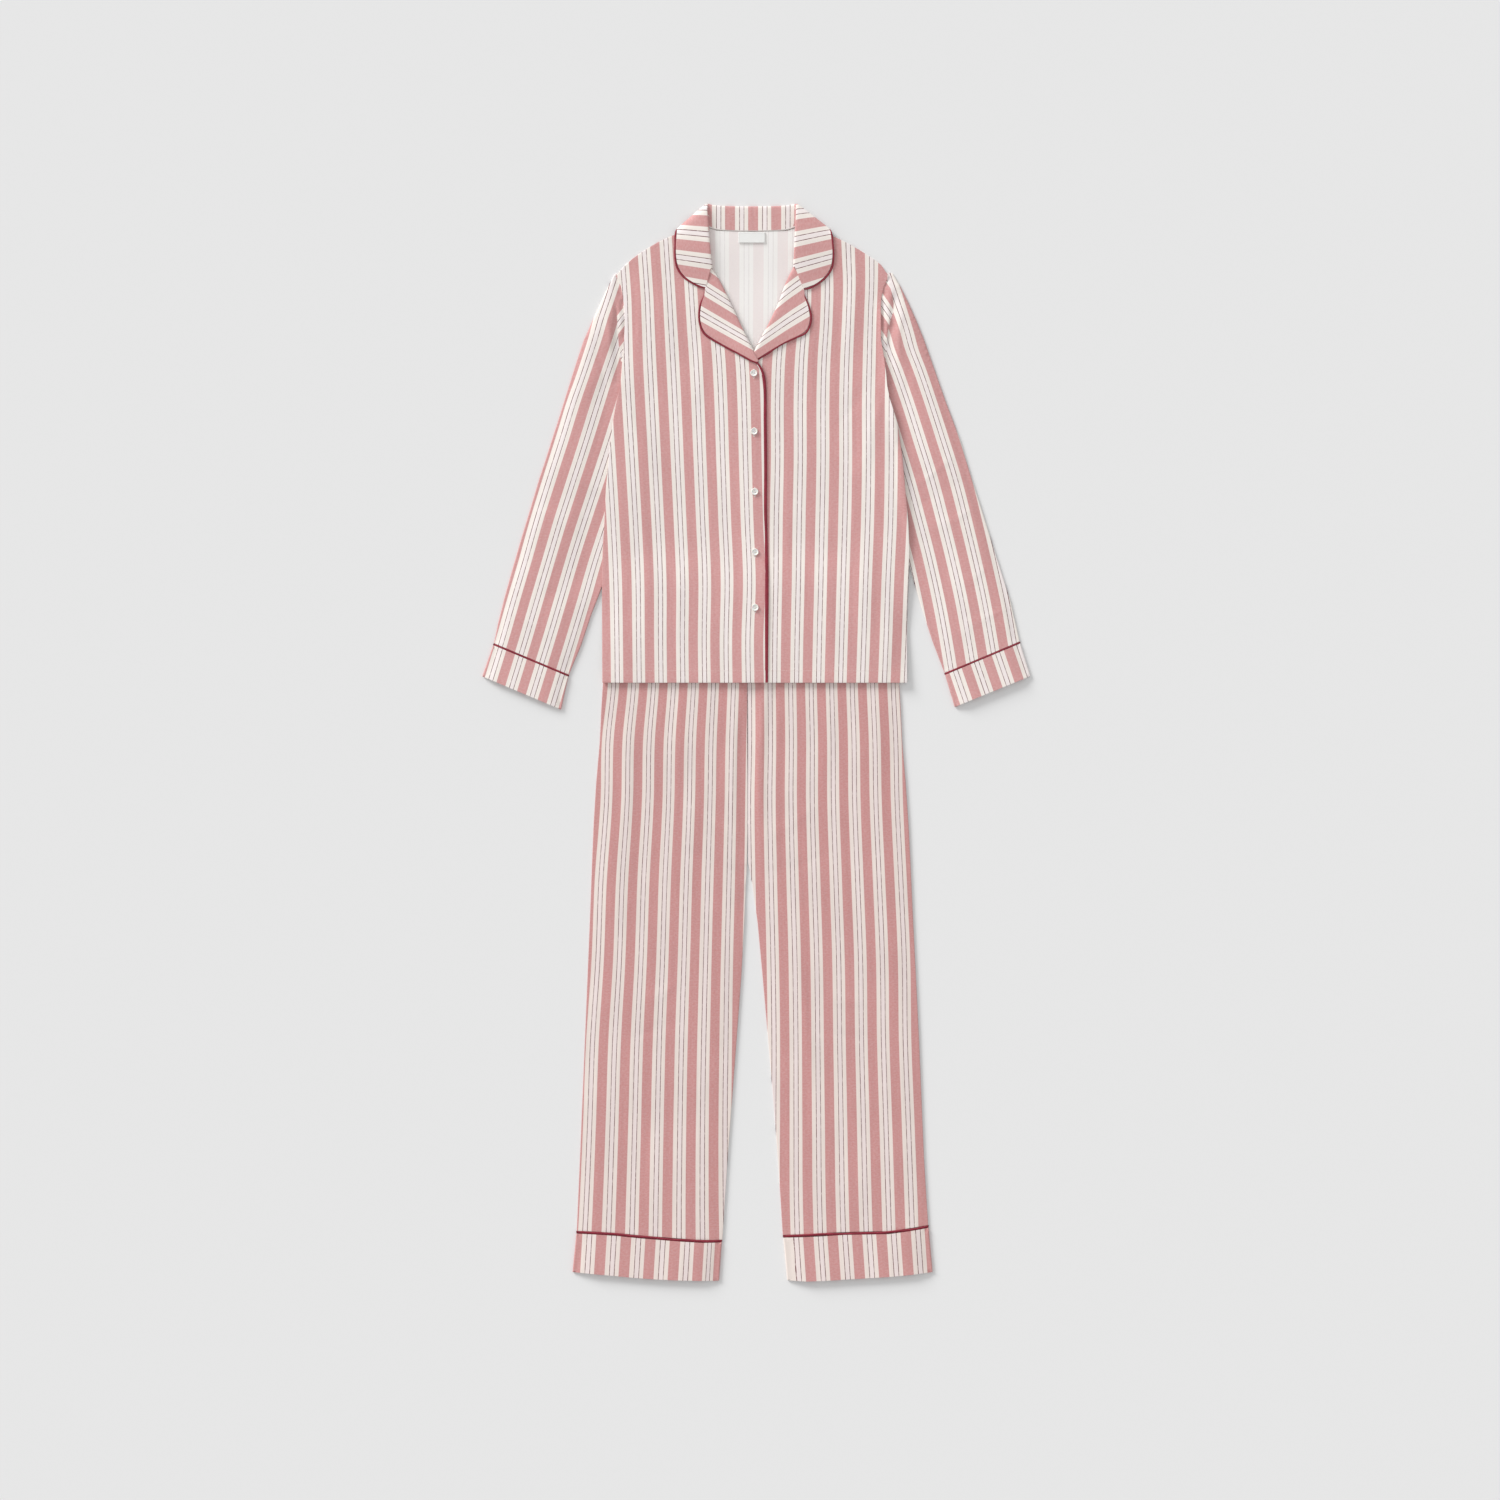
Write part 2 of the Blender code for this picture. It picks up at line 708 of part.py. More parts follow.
def make_back():
    top = np.array(BACK_TOP)
    right_tip, left_tip = top[0], top[-1]
    shares = [(x - right_tip[0]) / (left_tip[0] - right_tip[0]) for x in BACK_COLUMNS]

    def place(share, row):
        y = BODY_ROWS[row]
        right, left = float(edge_x(RIGHT_EDGE, y)), float(edge_x(LEFT_EDGE, y))
        top_x = right_tip[0] + share * (left_tip[0] - right_tip[0])
        lift = np.interp(top_x, top[:, 0], top[:, 1]) - SHOULDER_TIP_Y
        return right + share * (left - right), y + lift * top_share(y)

    panel("jacket_back", shares, place, lambda x, y, share: back_under(x, y), len(BODY_ROWS) - 1)


def make_front(name, side_edge, free_edge, under):
    tip = side_edge[-1]
    neck = free_edge[-1]
    same_side = [point for point in BACK_TOP if (point[0] - CENTRE_BACK_X) * tip[0] > 0]
    xs, ys = np.array([point for point in same_side if abs(point[0] - CENTRE_BACK_X) > 70]).T

    def place(share, row):
        side_y, free_y = BODY_ROWS[row], FREE_ROWS[row]
        side_x, free_x = float(edge_x(side_edge, side_y)), float(edge_x(free_edge, free_y))
        x = side_x + share * (free_x - side_x)
        y = side_y + share * (free_y - side_y)
        top_x = tip[0] + share * (neck[0] - tip[0])
        straight = tip[1] + share * (neck[1] - tip[1])
        lift = (np.interp(top_x, xs, ys) - straight) * top_share(side_y)
        return x, y + lift

    panel(name, FRONT_COLUMNS, place, lambda x, y, share: under(x, y), len(BODY_ROWS) - 1)


def collar_section(place, turn, side):
    """Points of the collar across one section: up the stand, round its fold and down the fall."""
    neck_x, neck_y, fold_x, fold_y, free_x, free_y = place
    on_front, neck_z, fold_z, free_z, lean, heading = turn
    if on_front:
        neck_z += float(front_top(neck_x, neck_y, side)) - WALL / 2
        fold_z += float(front_top(neck_x, neck_y, side))
        free_z += float(front_top(free_x, free_y, side))
    lean, heading = math.radians(lean), math.radians(heading)
    # The fold points towards the neck opening, which is the other way on the wearer's left
    ahead = np.array((-side * math.cos(heading), math.sin(heading), 0))
    level = math.cos(lean)
    apart = np.array((side * math.sin(heading) * level, math.cos(heading) * level, math.sin(lean)))
    fold = np.array((fold_x, fold_y, fold_z))
    arc = []
    for degrees in (-90, -45, 0, 45, 90):
        turned = math.radians(degrees)
        arc.append(fold + FOLD_RADIUS * (ahead * (math.cos(turned) - 1) + apart * math.sin(turned)))
    neck = np.array((neck_x, neck_y, neck_z))
    free = np.array((free_x, free_y, free_z))
    stand = [neck, (neck + arc[0]) / 2]
    fall = [arc[-1] + (free - arc[-1]) * share for share in (0.25, 0.5, 0.75, 1.0)]
    for share, point in zip((0.25, 0.5, 0.75), fall):
        point[2] += 0.5 * math.sin(math.pi * share) * on_front
    return stand + arc + fall


def make_collar():
    sections = [collar_section(place, turn, -1) for place, turn in zip(RIGHT_COLLAR, COLLAR_TURN)][::-1]
    sections.append(collar_section(CENTRE_BACK, COLLAR_TURN[0], 1))
    sections += [collar_section(place, turn, 1) for place, turn in zip(LEFT_COLLAR, COLLAR_TURN)]
    points = np.array(sections)
    sheet("collar", points, DOUBLE)
    return points


def lapel_points(table, side):
    sections = []
    for roll_x, roll_y, free_x, free_y in table:
        ahead = np.array((free_x - roll_x, free_y - roll_y, 0))
        ahead /= np.linalg.norm(ahead)
        low = float(front_top(roll_x, roll_y, side)) - WALL
        roll = np.array((roll_x, roll_y, 0)) + ahead * DOUBLE / 2
        up = np.array((0, 0, 1))
        start = roll + up * (low + LAPEL_EASE)
        bend = start + up * (WALL + DOUBLE / 2 - 0.6)
        turned = bend + ahead * ROLL_RADIUS + up * ROLL_RADIUS
        free_top = float(front_top(free_x, free_y, side))
        free = np.array((free_x, free_y, free_top + DOUBLE / 2 + EASE - 0.2))
        fall = [turned + (free - turned) * share for share in (0.2, 0.45, 0.72, 1.0)]
        sections.append([start, bend, turned] + fall)
    return np.array(sections)


def beside(points, toward, distance):
    """A line moved square to itself, away from the next line in, by a distance."""
    run = np.gradient(points, axis=0)
    run /= np.linalg.norm(run, axis=1, keepdims=True)
    out = points - toward
    out -= run * np.sum(out * run, axis=1, keepdims=True)
    return points + out / np.linalg.norm(out, axis=1, keepdims=True) * distance


def make_lapels_and_piping(collar):
    reach = PIPING_WIDTH / 2 + SEAM + 0.1
    edge = beside(collar[:, -1], collar[:, -2], reach)
    visible = slice(1, -1)
    cord("piping_collar", edge[visible], PIPING_WIDTH, PIPING_HEIGHT)

    right = lapel_points(RIGHT_LAPEL, -1)
    sheet("facing_right", right, DOUBLE)
    path = beside(right[:, -1], right[:, -2], reach)
    placket = []
    for x, y in PLACKET_PIPING:
        to_lapel = 2.2 * step(y, 535, 572)
        placket.append((x, y, float(right_front_under(x, y)) + WALL / 2 + 0.1 + to_lapel))
    cord("piping_front_right", np.vstack([path[1:], placket]), PIPING_WIDTH, PIPING_HEIGHT)

    left = lapel_points(LEFT_LAPEL, 1)
    sheet("facing_left", left, DOUBLE)
    cord("piping_front_left", beside(left[:, -1], left[:, -2], reach)[1:], PIPING_WIDTH, PIPING_HEIGHT)


def fold_height(x, y):
    """Height of the sleeves' folds at a point."""
    total = 0.0
    for x0, y0, x1, y1, half_width, height in SLEEVE_FOLDS:
        run = np.array((x1 - x0, y1 - y0))
        share = ((x - x0) * run[0] + (y - y0) * run[1]) / (run @ run)
        near = np.clip(share, 0, 1)
        distance = math.hypot(x - x0 - run[0] * near, y - y0 - run[1] * near)
        total += height * math.exp(-((distance / half_width) ** 2))
    return total


def make_sleeve(name, table, side):
    rows = len(table) - 1

    def place(share, row):
        outer_x, outer_y, edge, edge_y, _ = table[row]
        gap = side * SEAM * (1 - share)
        return edge + share * (outer_x - edge) + gap, edge_y + share * (outer_y - edge_y)

    def top(share, row):
        x, y = place(share, row)
        outer_x, outer_y, edge, edge_y, _ = table[row]
        low = 2 * WALL + SEAM
        under_body = step(y, UNDERARM_Y + 47, UNDERARM_Y + 2) * step(y, 190, 240)
        start = 0.30 * under_body
        rise = step(share, start, start + 0.3) * step(1 - share, -0.04, SLEEVE_MARGIN)
        at_seam = (EASE - SEAM) * (1 - under_body)
        narrow = min(1.0, math.hypot(outer_x - edge, outer_y - edge_y) / 60)
        return low + at_seam + ((SLEEVE_HEIGHT - low) * narrow + fold_height(x, y)) * rise

    flat_tube(name, place, rows, top, WALL, closed=lambda row: bool(table[row][4]))


def make_cuff(place, name, piping_name, piping_length, height, piping_heights, margin, length):
    """A cuff and the piped band in its seam. place(share, run) is their plan, from the inner edge to the outer
    one and from the seam (0) to the open end (1), which are a length apart.
    """
    half_band = piping_length / 2 / length
    steps = (half_band + SEAM / length, 0.3, 0.65, 1.0)
    low = 2 * CUFF_WALL + SEAM

    def top(share, row):
        return low + (height - low) * across(share, margin) * (0.65 + 0.35 * steps[row])

    flat_tube(name, lambda share, row: place(share, steps[row]), len(steps) - 1, top, CUFF_WALL)

    def band_place(share, row):
        run = half_band if row else -half_band
        inner, outer = np.array(place(0, run)), np.array(place(1, run))
        proud = PIPING_PROUD * (2 * share - 1) / np.linalg.norm(outer - inner)
        return tuple(np.array(place(share, run)) + (outer - inner) * proud)

    def band_top(share, row):
        return piping_heights[0] + (piping_heights[1] - piping_heights[0]) * across(share, margin)

    flat_tube(piping_name, band_place, 1, band_top, WALL, colour=PIPING_COLOUR, roughness=PIPING_ROUGHNESS)


def make_sleeve_cuff(wearer_side, ends):
    seam, end = [np.array((corners[2:], corners[:2])) for corners in ends]
    length = np.linalg.norm(seam.mean(axis=0) - end.mean(axis=0))

    def place(share, run):
        inner, outer = seam + (end - seam) * run
        return tuple(inner + (outer - inner) * share)

    names = f"sleeve_cuff_{wearer_side}", f"piping_sleeve_{wearer_side}"
    make_cuff(place, *names, SLEEVE_PIPING, SLEEVE_CUFF_HEIGHT, SLEEVE_PIPING_HEIGHTS, SLEEVE_MARGIN, length)


def button_height(x, y):
    """Top of the cloth under a button, at its centre or on its rim."""
    radius = BUTTON_DIAMETER / 2
    turns = [k * math.pi / 4 for k in range(8)]
    around = [(x, y)] + [(x + radius * math.cos(turn), y + radius * math.sin(turn)) for turn in turns]
    return max(float(front_top(at_x, at_y, -1)) for at_x, at_y in around)


def make_button(name, x, y):
    """A turned button: flat back, raised rim round a dished face, four holes."""
    radius = BUTTON_DIAMETER / 2
    profile = (
        # radius, height
        (0.0, 0.0),
        (radius - 0.5, 0.0),
        (radius, 0.6),
        (radius, BUTTON_THICKNESS - 0.4),
        (radius - 0.5, BUTTON_THICKNESS),
        (radius - 1.1, BUTTON_THICKNESS),
        (radius - 1.8, BUTTON_THICKNESS - BUTTON_DISH),
        (0.0, BUTTON_THICKNESS - BUTTON_DISH),
    )
    bm = bmesh.new()
    verts = [bm.verts.new((r * MM, 0, z * MM)) for r, z in profile]
    edges = [bm.edges.new(pair) for pair in zip(verts, verts[1:])]
    turned = {"cent": (0, 0, 0), "axis": (0, 0, 1), "angle": 2 * math.pi, "steps": 16, "use_merge": True}
    bmesh.ops.spin(bm, geom=verts + edges, **turned)
    bmesh.ops.remove_doubles(bm, verts=bm.verts[:], dist=MERGE)
    made = finish(bm, name, WHITE, 0.25)
    made.location = (x * MM, y * MM, (button_height(x, y) + SEAM) * MM)
    holes = bmesh.new()
    bore = {"radius1": HOLE_RADIUS * MM, "radius2": HOLE_RADIUS * MM, "depth": 4 * BUTTON_THICKNESS * MM}
    for k in range(4):
        turn = math.pi / 4 + k * math.pi / 2
        hole = bmesh.ops.create_cone(holes, cap_ends=True, segments=5, **bore)
        out = (HOLE_OUT * MM * math.cos(turn), HOLE_OUT * MM * math.sin(turn), 0)
        bmesh.ops.translate(holes, verts=hole["verts"], vec=out)
    cutter = finish(holes, name + "_holes", WHITE, 0.25)
    cutter.location = made.location
    cutter.hide_render = True
    cutter.display_type = "WIRE"
    cut = made.modifiers.new("Holes", "BOOLEAN")
    cut.operation = "DIFFERENCE"
    cut.object = cutter


def make_label():
    width, height = LABEL_SIZE
    centre_x, centre_y = LABEL_CENTRE

    def place(share, row):
        return centre_x + (share - 0.5) * width, centre_y + (row / 2 - 0.5) * height

    def under(x, y, share):
        return back_under(x, y) + WALL + SEAM + 0.1

    panel("neck_label", (0, 0.33, 0.67, 1), place, under, 2)


# Pieces of the trousers


def make_leg(wearer_side, outseam, inseam, cuff_seam):
    first, turn = TROUSER_ROWS[0], TROUSER_ROWS[2]

    def place(share, row):
        y = TROUSER_ROWS[row]
        outer, inner = float(edge_x(outseam, y)), float(edge_x(inseam, y))
        seam_y = along(cuff_seam, share)[1] + LEG_PIPING / 2 + 2 * SEAM
        return outer + share * (inner - outer), y + float((seam_y - first) * step(y, turn, first))

    def front(x, y, share):
        return WALL + SEAM + leg_puff(share, y)

    rows = len(TROUSER_ROWS) - 1
    panel(f"trouser_back_{wearer_side}", LEG_COLUMNS, place, lambda x, y, share: 0.0, rows)
    panel(f"trouser_front_{wearer_side}", LEG_COLUMNS, place, front, rows)


def make_leg_cuff(wearer_side, seam, end):
    length = abs(along(seam, 0.5)[1] - along(end, 0.5)[1])

    def place(share, run):
        start, finish_at = np.array(along(seam, 1 - share)), np.array(along(end, 1 - share))
        return tuple(start + (finish_at - start) * run)

    names = f"leg_cuff_{wearer_side}", f"piping_leg_cuff_{wearer_side}"
    make_cuff(place, *names, LEG_PIPING, LEG_CUFF_HEIGHT, LEG_PIPING_HEIGHTS, LEG_MARGIN, length)


def make_waistband():
    right, left = WAIST_SIDES
    low = WAIST_SEAM_Y + SEAM
    rows = 3

    def place(share, row):
        inset = WAIST_IN * row / rows
        return right + inset + (left - right - 2 * inset) * share, low + (WAIST_TOP_Y - low) * row / rows

    def top(share, row):
        return 2 * CUFF_WALL + SEAM + 0.2

    flat_tube("waistband", place, rows, top, CUFF_WALL)


for old in list(bpy.data.objects):
    bpy.data.objects.remove(old, do_unlink=True)

SET = bpy.data.objects.new("pyjama_set", None)
bpy.context.scene.collection.objects.link(SET)

make_back()
make_front("jacket_front_right", RIGHT_EDGE, RIGHT_FRONT_EDGE, right_front_under)
make_front("jacket_front_left", LEFT_EDGE, LEFT_FRONT_EDGE, left_front_under)
make_lapels_and_piping(make_collar())
make_sleeve("sleeve_right", RIGHT_SLEEVE, -1)
make_sleeve("sleeve_left", LEFT_SLEEVE, 1)
make_sleeve_cuff("right", RIGHT_SLEEVE_CUFF)
make_sleeve_cuff("left", LEFT_SLEEVE_CUFF)
for number, (x, y) in enumerate(BUTTONS, 1):
    make_button(f"button_{number}", x, y)
make_label()
make_leg("right", RIGHT_OUTSEAM, RIGHT_INSEAM, RIGHT_CUFF_SEAM)
make_leg("left", LEFT_OUTSEAM, LEFT_INSEAM, LEFT_CUFF_SEAM)
make_leg_cuff("right", RIGHT_CUFF_SEAM, RIGHT_CUFF_END)
make_leg_cuff("left", LEFT_CUFF_SEAM, LEFT_CUFF_END)
make_waistband()
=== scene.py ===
"""The looks of a pyjama set in striped cotton, laid flat: cloth, piping, buttons, label and sewing."""

import json
import math

import bmesh
import bpy
import numpy as np
from mathutils import Matrix, Vector
from mathutils.bvhtree import BVHTree

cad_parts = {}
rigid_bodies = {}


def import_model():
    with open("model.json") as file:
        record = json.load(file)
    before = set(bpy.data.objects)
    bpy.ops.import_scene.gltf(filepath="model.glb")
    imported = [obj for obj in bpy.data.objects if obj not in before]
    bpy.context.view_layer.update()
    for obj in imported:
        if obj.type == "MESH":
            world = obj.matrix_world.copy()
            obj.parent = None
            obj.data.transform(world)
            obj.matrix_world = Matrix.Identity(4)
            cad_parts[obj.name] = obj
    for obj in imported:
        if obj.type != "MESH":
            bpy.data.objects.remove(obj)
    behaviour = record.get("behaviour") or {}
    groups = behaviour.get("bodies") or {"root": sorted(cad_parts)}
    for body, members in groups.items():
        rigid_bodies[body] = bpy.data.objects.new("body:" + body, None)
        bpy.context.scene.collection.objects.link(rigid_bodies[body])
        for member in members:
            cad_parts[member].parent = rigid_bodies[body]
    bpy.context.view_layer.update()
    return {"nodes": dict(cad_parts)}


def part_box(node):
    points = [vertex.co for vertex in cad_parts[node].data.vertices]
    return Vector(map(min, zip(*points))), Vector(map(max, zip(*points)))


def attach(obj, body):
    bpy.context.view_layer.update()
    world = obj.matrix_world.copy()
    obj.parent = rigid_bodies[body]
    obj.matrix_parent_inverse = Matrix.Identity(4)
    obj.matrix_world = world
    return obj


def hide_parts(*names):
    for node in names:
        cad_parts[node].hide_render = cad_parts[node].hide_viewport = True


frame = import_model()

bl_info = {
    "name": "Pyjama set, laid flat",
    "version": (1, 0, 0),
    "blender": (4, 5, 0),
    "location": "3D View > Sidebar > Pyjamas",
    "description": "Dresses the cut pieces of a striped pyjama jacket and trousers",
    "category": "Add Mesh",
}

MM = 0.001
MERGE = 1e-6  # metres within which points of a mesh are one
SPLIT = 1e-7  # the same for points on a cut
UP = Vector((0, 0, 1))

# Cloth, in mm
PANEL_RINGS = (0.12, 0.35, 0.7)  # how far in from a panel's edge its rounding is cut
TUBE_RINGS = (0.25, 0.7, 1.4, 2.6)
OPEN_RISE = 0.3  # an outline point this far above a tube's fold is on an open end
OUTLINE_PITCH = 1.2
EASING = 14  # passes that ease the cut pieces' flat facets into soft cloth
EASINGS = {"jacket_front_right": 40, "jacket_front_left": 40}
LEAST_HEIGHT = 1.9  # of a tube's upper side
LEAST_THICK = 0.4  # of a panel
ON_EDGE = 1e-4  # closer in than this is the edge
PROBE_IN = 0.1 * MM  # how far in from its point a height is read
SLEEVE_WALL = 1.1
CUFF_WALL = 1.5
SLEEVE_SQUARE, CUFF_SQUARE, SMALL_SQUARE = 0.00301, 0.003, 0.002  # of meshes, in metres
TURN_UP = 18.0  # depth of the jacket's hem
TURN_UP_RISE = 0.35
HEM_Y = 90.0
SOFT_EDGE = 0.5
FULL_EDGE = 0.7
COLLAR_FOLDS = (
    ((-60, 700), (-62, 755), (-72.6, 768), (-73.4, 810)), ((48, 700), (50, 755), (58.8, 768), (59.6, 810)),
)
NECK_TAPE = (
    (-73, 774.2, 4.5), (-59, 770.4, 4.4), (-38, 768.8, 4.3), (-6.6, 768.3, 4.3), (25, 768.8, 4.3),
    (46, 770.4, 4.4), (58.5, 774.2, 4.5),
)
# Edges drawn over to meet the next piece: how far in that is felt, then points along one as x, y, dx, dy
PULLS = {
    "facing_right": (
        (9, (-66.8, 709.4, -0.8, 2.2), (-73.2, 681.6, -3.6, 1.8)),
        (12, (-0.5, 581.2, 4.2, -9.5), (-9.2, 575, 7, -4)),
    ),
    "facing_left": (
        (9, (56.2, 711.8, 0.2, 1.8), (68, 680.6, 3.4, 0.7)),
        (13, (3.2, 596.8, -6.5, -10), (15.4, 584.6, -15.5, -9.5)),
    ),
    "sleeve_right": (
        (2, (-213.6, 697, -0.4, 4), (-210.9, 696.6, 1.9, 8.4)),
        (
            4, (-203.7, 683.6, 1.8, 0), (-200.4, 662, 1.8, 0), (-198.1, 616.9, 1.8, 0),
            (-203.5, 560, 2.6, 0), (-206.5, 531, 2.6, 0),
        ),
    ),
    "sleeve_left": (
        (2, (197.9, 697, -2.8, 8.4), (202.6, 697.6, 1.4, 6.8)),
        (
            4, (192.7, 686, -1.8, 0), (187.9, 664, -1.8, 0), (187.5, 612, -1.8, 0), (193.1, 580, -2.2, 0),
            (197.7, 531, -2.6, 0),
        ),
    ),
    "trouser_front_right": ((3, (-14.3, 205, 0.5, 0), (-14.3, -215, 0.5, 0)),),
    "trouser_front_left": ((3, (-13.9, 205, -0.5, 0), (-13.9, -215, -0.5, 0)),),
}
# What a cord goes on to past its CAD line's two ends
CORD_ENDS = {
    "piping_collar": (((-76.2, 683, 5.9),), ((69.6, 680.2, 5.9),)),
    "piping_front_right": (((-76.4, 681.5, 5.6), (-76.8, 675, 5.9)), ()),
    "piping_front_left": (
        ((69.6, 679, 5.6), (70.6, 672.5, 5.9)), ((9, 579.3, 5.9), (3.4, 575.6, 5.5), (-1, 572.6, 5)),
    ),
}
GATHER = 0.3
GATHER_PITCH = 6.5
CORD_PITCH = 2.5
CUFF_CORDS = ("piping_sleeve_right", "piping_sleeve_left", "piping_leg_cuff_right", "piping_leg_cuff_left")
CUFF_CORD = 2.7
LEG_CORD_APART, LEG_CORD_DOWN, LEG_CORD_WAVE = 1.8, 0.8, 0.25
NECK_TAPE_SIZE, PLACKET_EDGE_SIZE = (2.6, 1.3), (1.3, 0.9)  # width and height
EDGE_APART = 1.9
PLACKET_TOP = 567.0
PLACKET_SHADOW_WIDENING = 1.75  # how much wider its cord is drawn below there, a painted shadow beside the cord
PLACKET_SHADOW_LEAN = 0.25  # share of that widening by which it lies further in, where the painted shadow falls
BUTTONHOLE = (2.4, 14.0)
BUTTONHOLE_DROP = -1.0
LABEL_STITCH = 1.6

# Rows of the stripes on each piece: at a height y, the x of one pink stripe's middle and the repeat
FRONT_RIGHT_ROWS = (
    (739.4, -118.7, 33.6), (666.8, -114.3, 33.2), (634.4, -112.4, 33.6), (574.4, -108.6, 34.6),
    (514.4, -105.6, 34.6), (424.4, -101.9, 34), (334.4, -98.1, 33.5), (244.4, -94.4, 33.4),
    (154.4, -95.1, 32.7), (90, -94.4, 32.7),
)
FRONT_LEFT_ROWS = (
    (725.9, 120.5, 34.5), (691.4, 122.3, 33.3), (634.4, 120.9, 32.9), (574.4, 117.9, 33.9),
    (514.4, 116.4, 34.1), (424.4, 116.4, 34.1), (334.4, 114.9, 34.2), (244.4, 112.7, 33.6),
    (154.4, 110.4, 33.3), (90, 108.9, 32.9),
)
WAIST_ROWS = ((240, -46, 27), (200, -46, 29))
BACK_ROWS = ((770, -33.6, 36.4), (90, -33.6, 34.4))
TROUSER_RIGHT_ROWS = (
    (205, -46, 29.6), (79.4, -50.1, 30), (4.4, -53.1, 30.9), (-85.7, -54.6, 31), (-205.7, -57.6, 32),
    (-325.7, -60.6, 32.3), (-445.7, -62.9, 33.3), (-565.7, -64.4, 33.8), (-685.7, -64.4, 34.7),
    (-745, -63.6, 35.4),
)
TROUSER_LEFT_ROWS = (
    (205, 34.6, 30.2), (79.4, 35.4, 30.8), (4.4, 36.2, 31.3), (-85.7, 35.4, 31.8), (-205.7, 37.7, 32.4),
    (-325.7, 40.7, 32.8), (-445.7, 42.2, 32.8), (-565.7, 42.2, 33.6), (-685.7, 42.2, 34.4),
    (-745, 43.7, 34.5),
)
SLEEVE_RIGHT_ROWS = (
    (700, -193, 40), (664.4, -205, 38.4), (634.4, -215.4, 37.6), (604.4, -224.4, 36.6), (574.4, -234.5, 36),
    (544.4, -244.8, 35.8), (514.4, -255, 36.8), (454.4, -273.6, 36.8), (394.4, -292.8, 36.6),
    (334.4, -311.7, 36), (274.4, -329.1, 35), (214.4, -346.8, 35.2), (154.4, -364.1, 34.9),
    (90, -384, 34.9),
)
SLEEVE_LEFT_ROWS = (
    (700, 175.5, 43), (664.4, 189.3, 40), (619.4, 206.3, 36), (589.4, 215, 35.4), (559.4, 226.7, 35),
    (514.4, 242.4, 34.6), (454.4, 261.6, 35), (394.4, 280.2, 35), (334.4, 295.8, 34.5), (274.4, 310.4, 34),
    (214.4, 323.6, 34), (154.4, 334.5, 33.8), (90, 345, 33.8),
)
# Caps of the sleeves: the crease that bounds one, the x of its seam, the y of a stripe there, the stripes'
# lean and their repeat
CAPS = {
    "sleeve_right": (
        ((-211, 653.5), (-209.3, 640), (-208.4, 627), (-206.5, 597), (-203, 571)), -199, 613.4, -0.75, 38.9,
    ),
    "sleeve_left": (
        (
            (198.3, 691), (203, 673.7), (205.8, 658.7), (204.9, 645.6), (201.2, 634.4), (196.5, 613.7),
            (195, 590), (193.7, 567),
        ),
        186.9, 631.4, 0.67, 38.7,
    ),
}
# The same the other way round for the collar's ends and the lapels: at an x, a stripe's y and the repeat
COLLAR_RIGHT_ROWS = ((-119.1, 746.4, 37.8), (-69.6, 740.3, 40.2))
COLLAR_LEFT_ROWS = ((59.4, 733.4, 40.8), (108.9, 745.5, 37.5))
LAPEL_RIGHT_ROWS = ((-87.6, 624.6, 41.5), (-78.6, 619.7, 41.1), (-24.6, 590.3, 38.1), (-6.6, 580.5, 37))
LAPEL_LEFT_ROWS = ((22.9, 594.3, 40.8), (48.7, 610.7, 44.4), (72.9, 624.6, 46.5))
STAND_ROWS = ((800, -5.3, 34.6), (760, -5.3, 34.6))
# Cuffs: seam's two ends, how far along it a pink stripe's middle is, the repeat and the stripes' lean; then
# from where to where along it they crowd towards an end, and by how many repeats
CUFF_ROWS = {
    "sleeve_cuff_right": ((-394.2, 148), (-281.8, 100.9), 28.2, 33.5, -0.1),
    "sleeve_cuff_left": ((395.2, 150.6), (282.6, 103.4), 19.5, 34.2, 0.07),
    "leg_cuff_right": ((-269.7, -734), (-51.8, -747), 37.5, 36.8, 0, 188, 213, 0.19),
    "leg_cuff_left": ((40.2, -740.1), (258, -725.4), 37.1, 36.5, 0, 15, 0, 0.316),
}

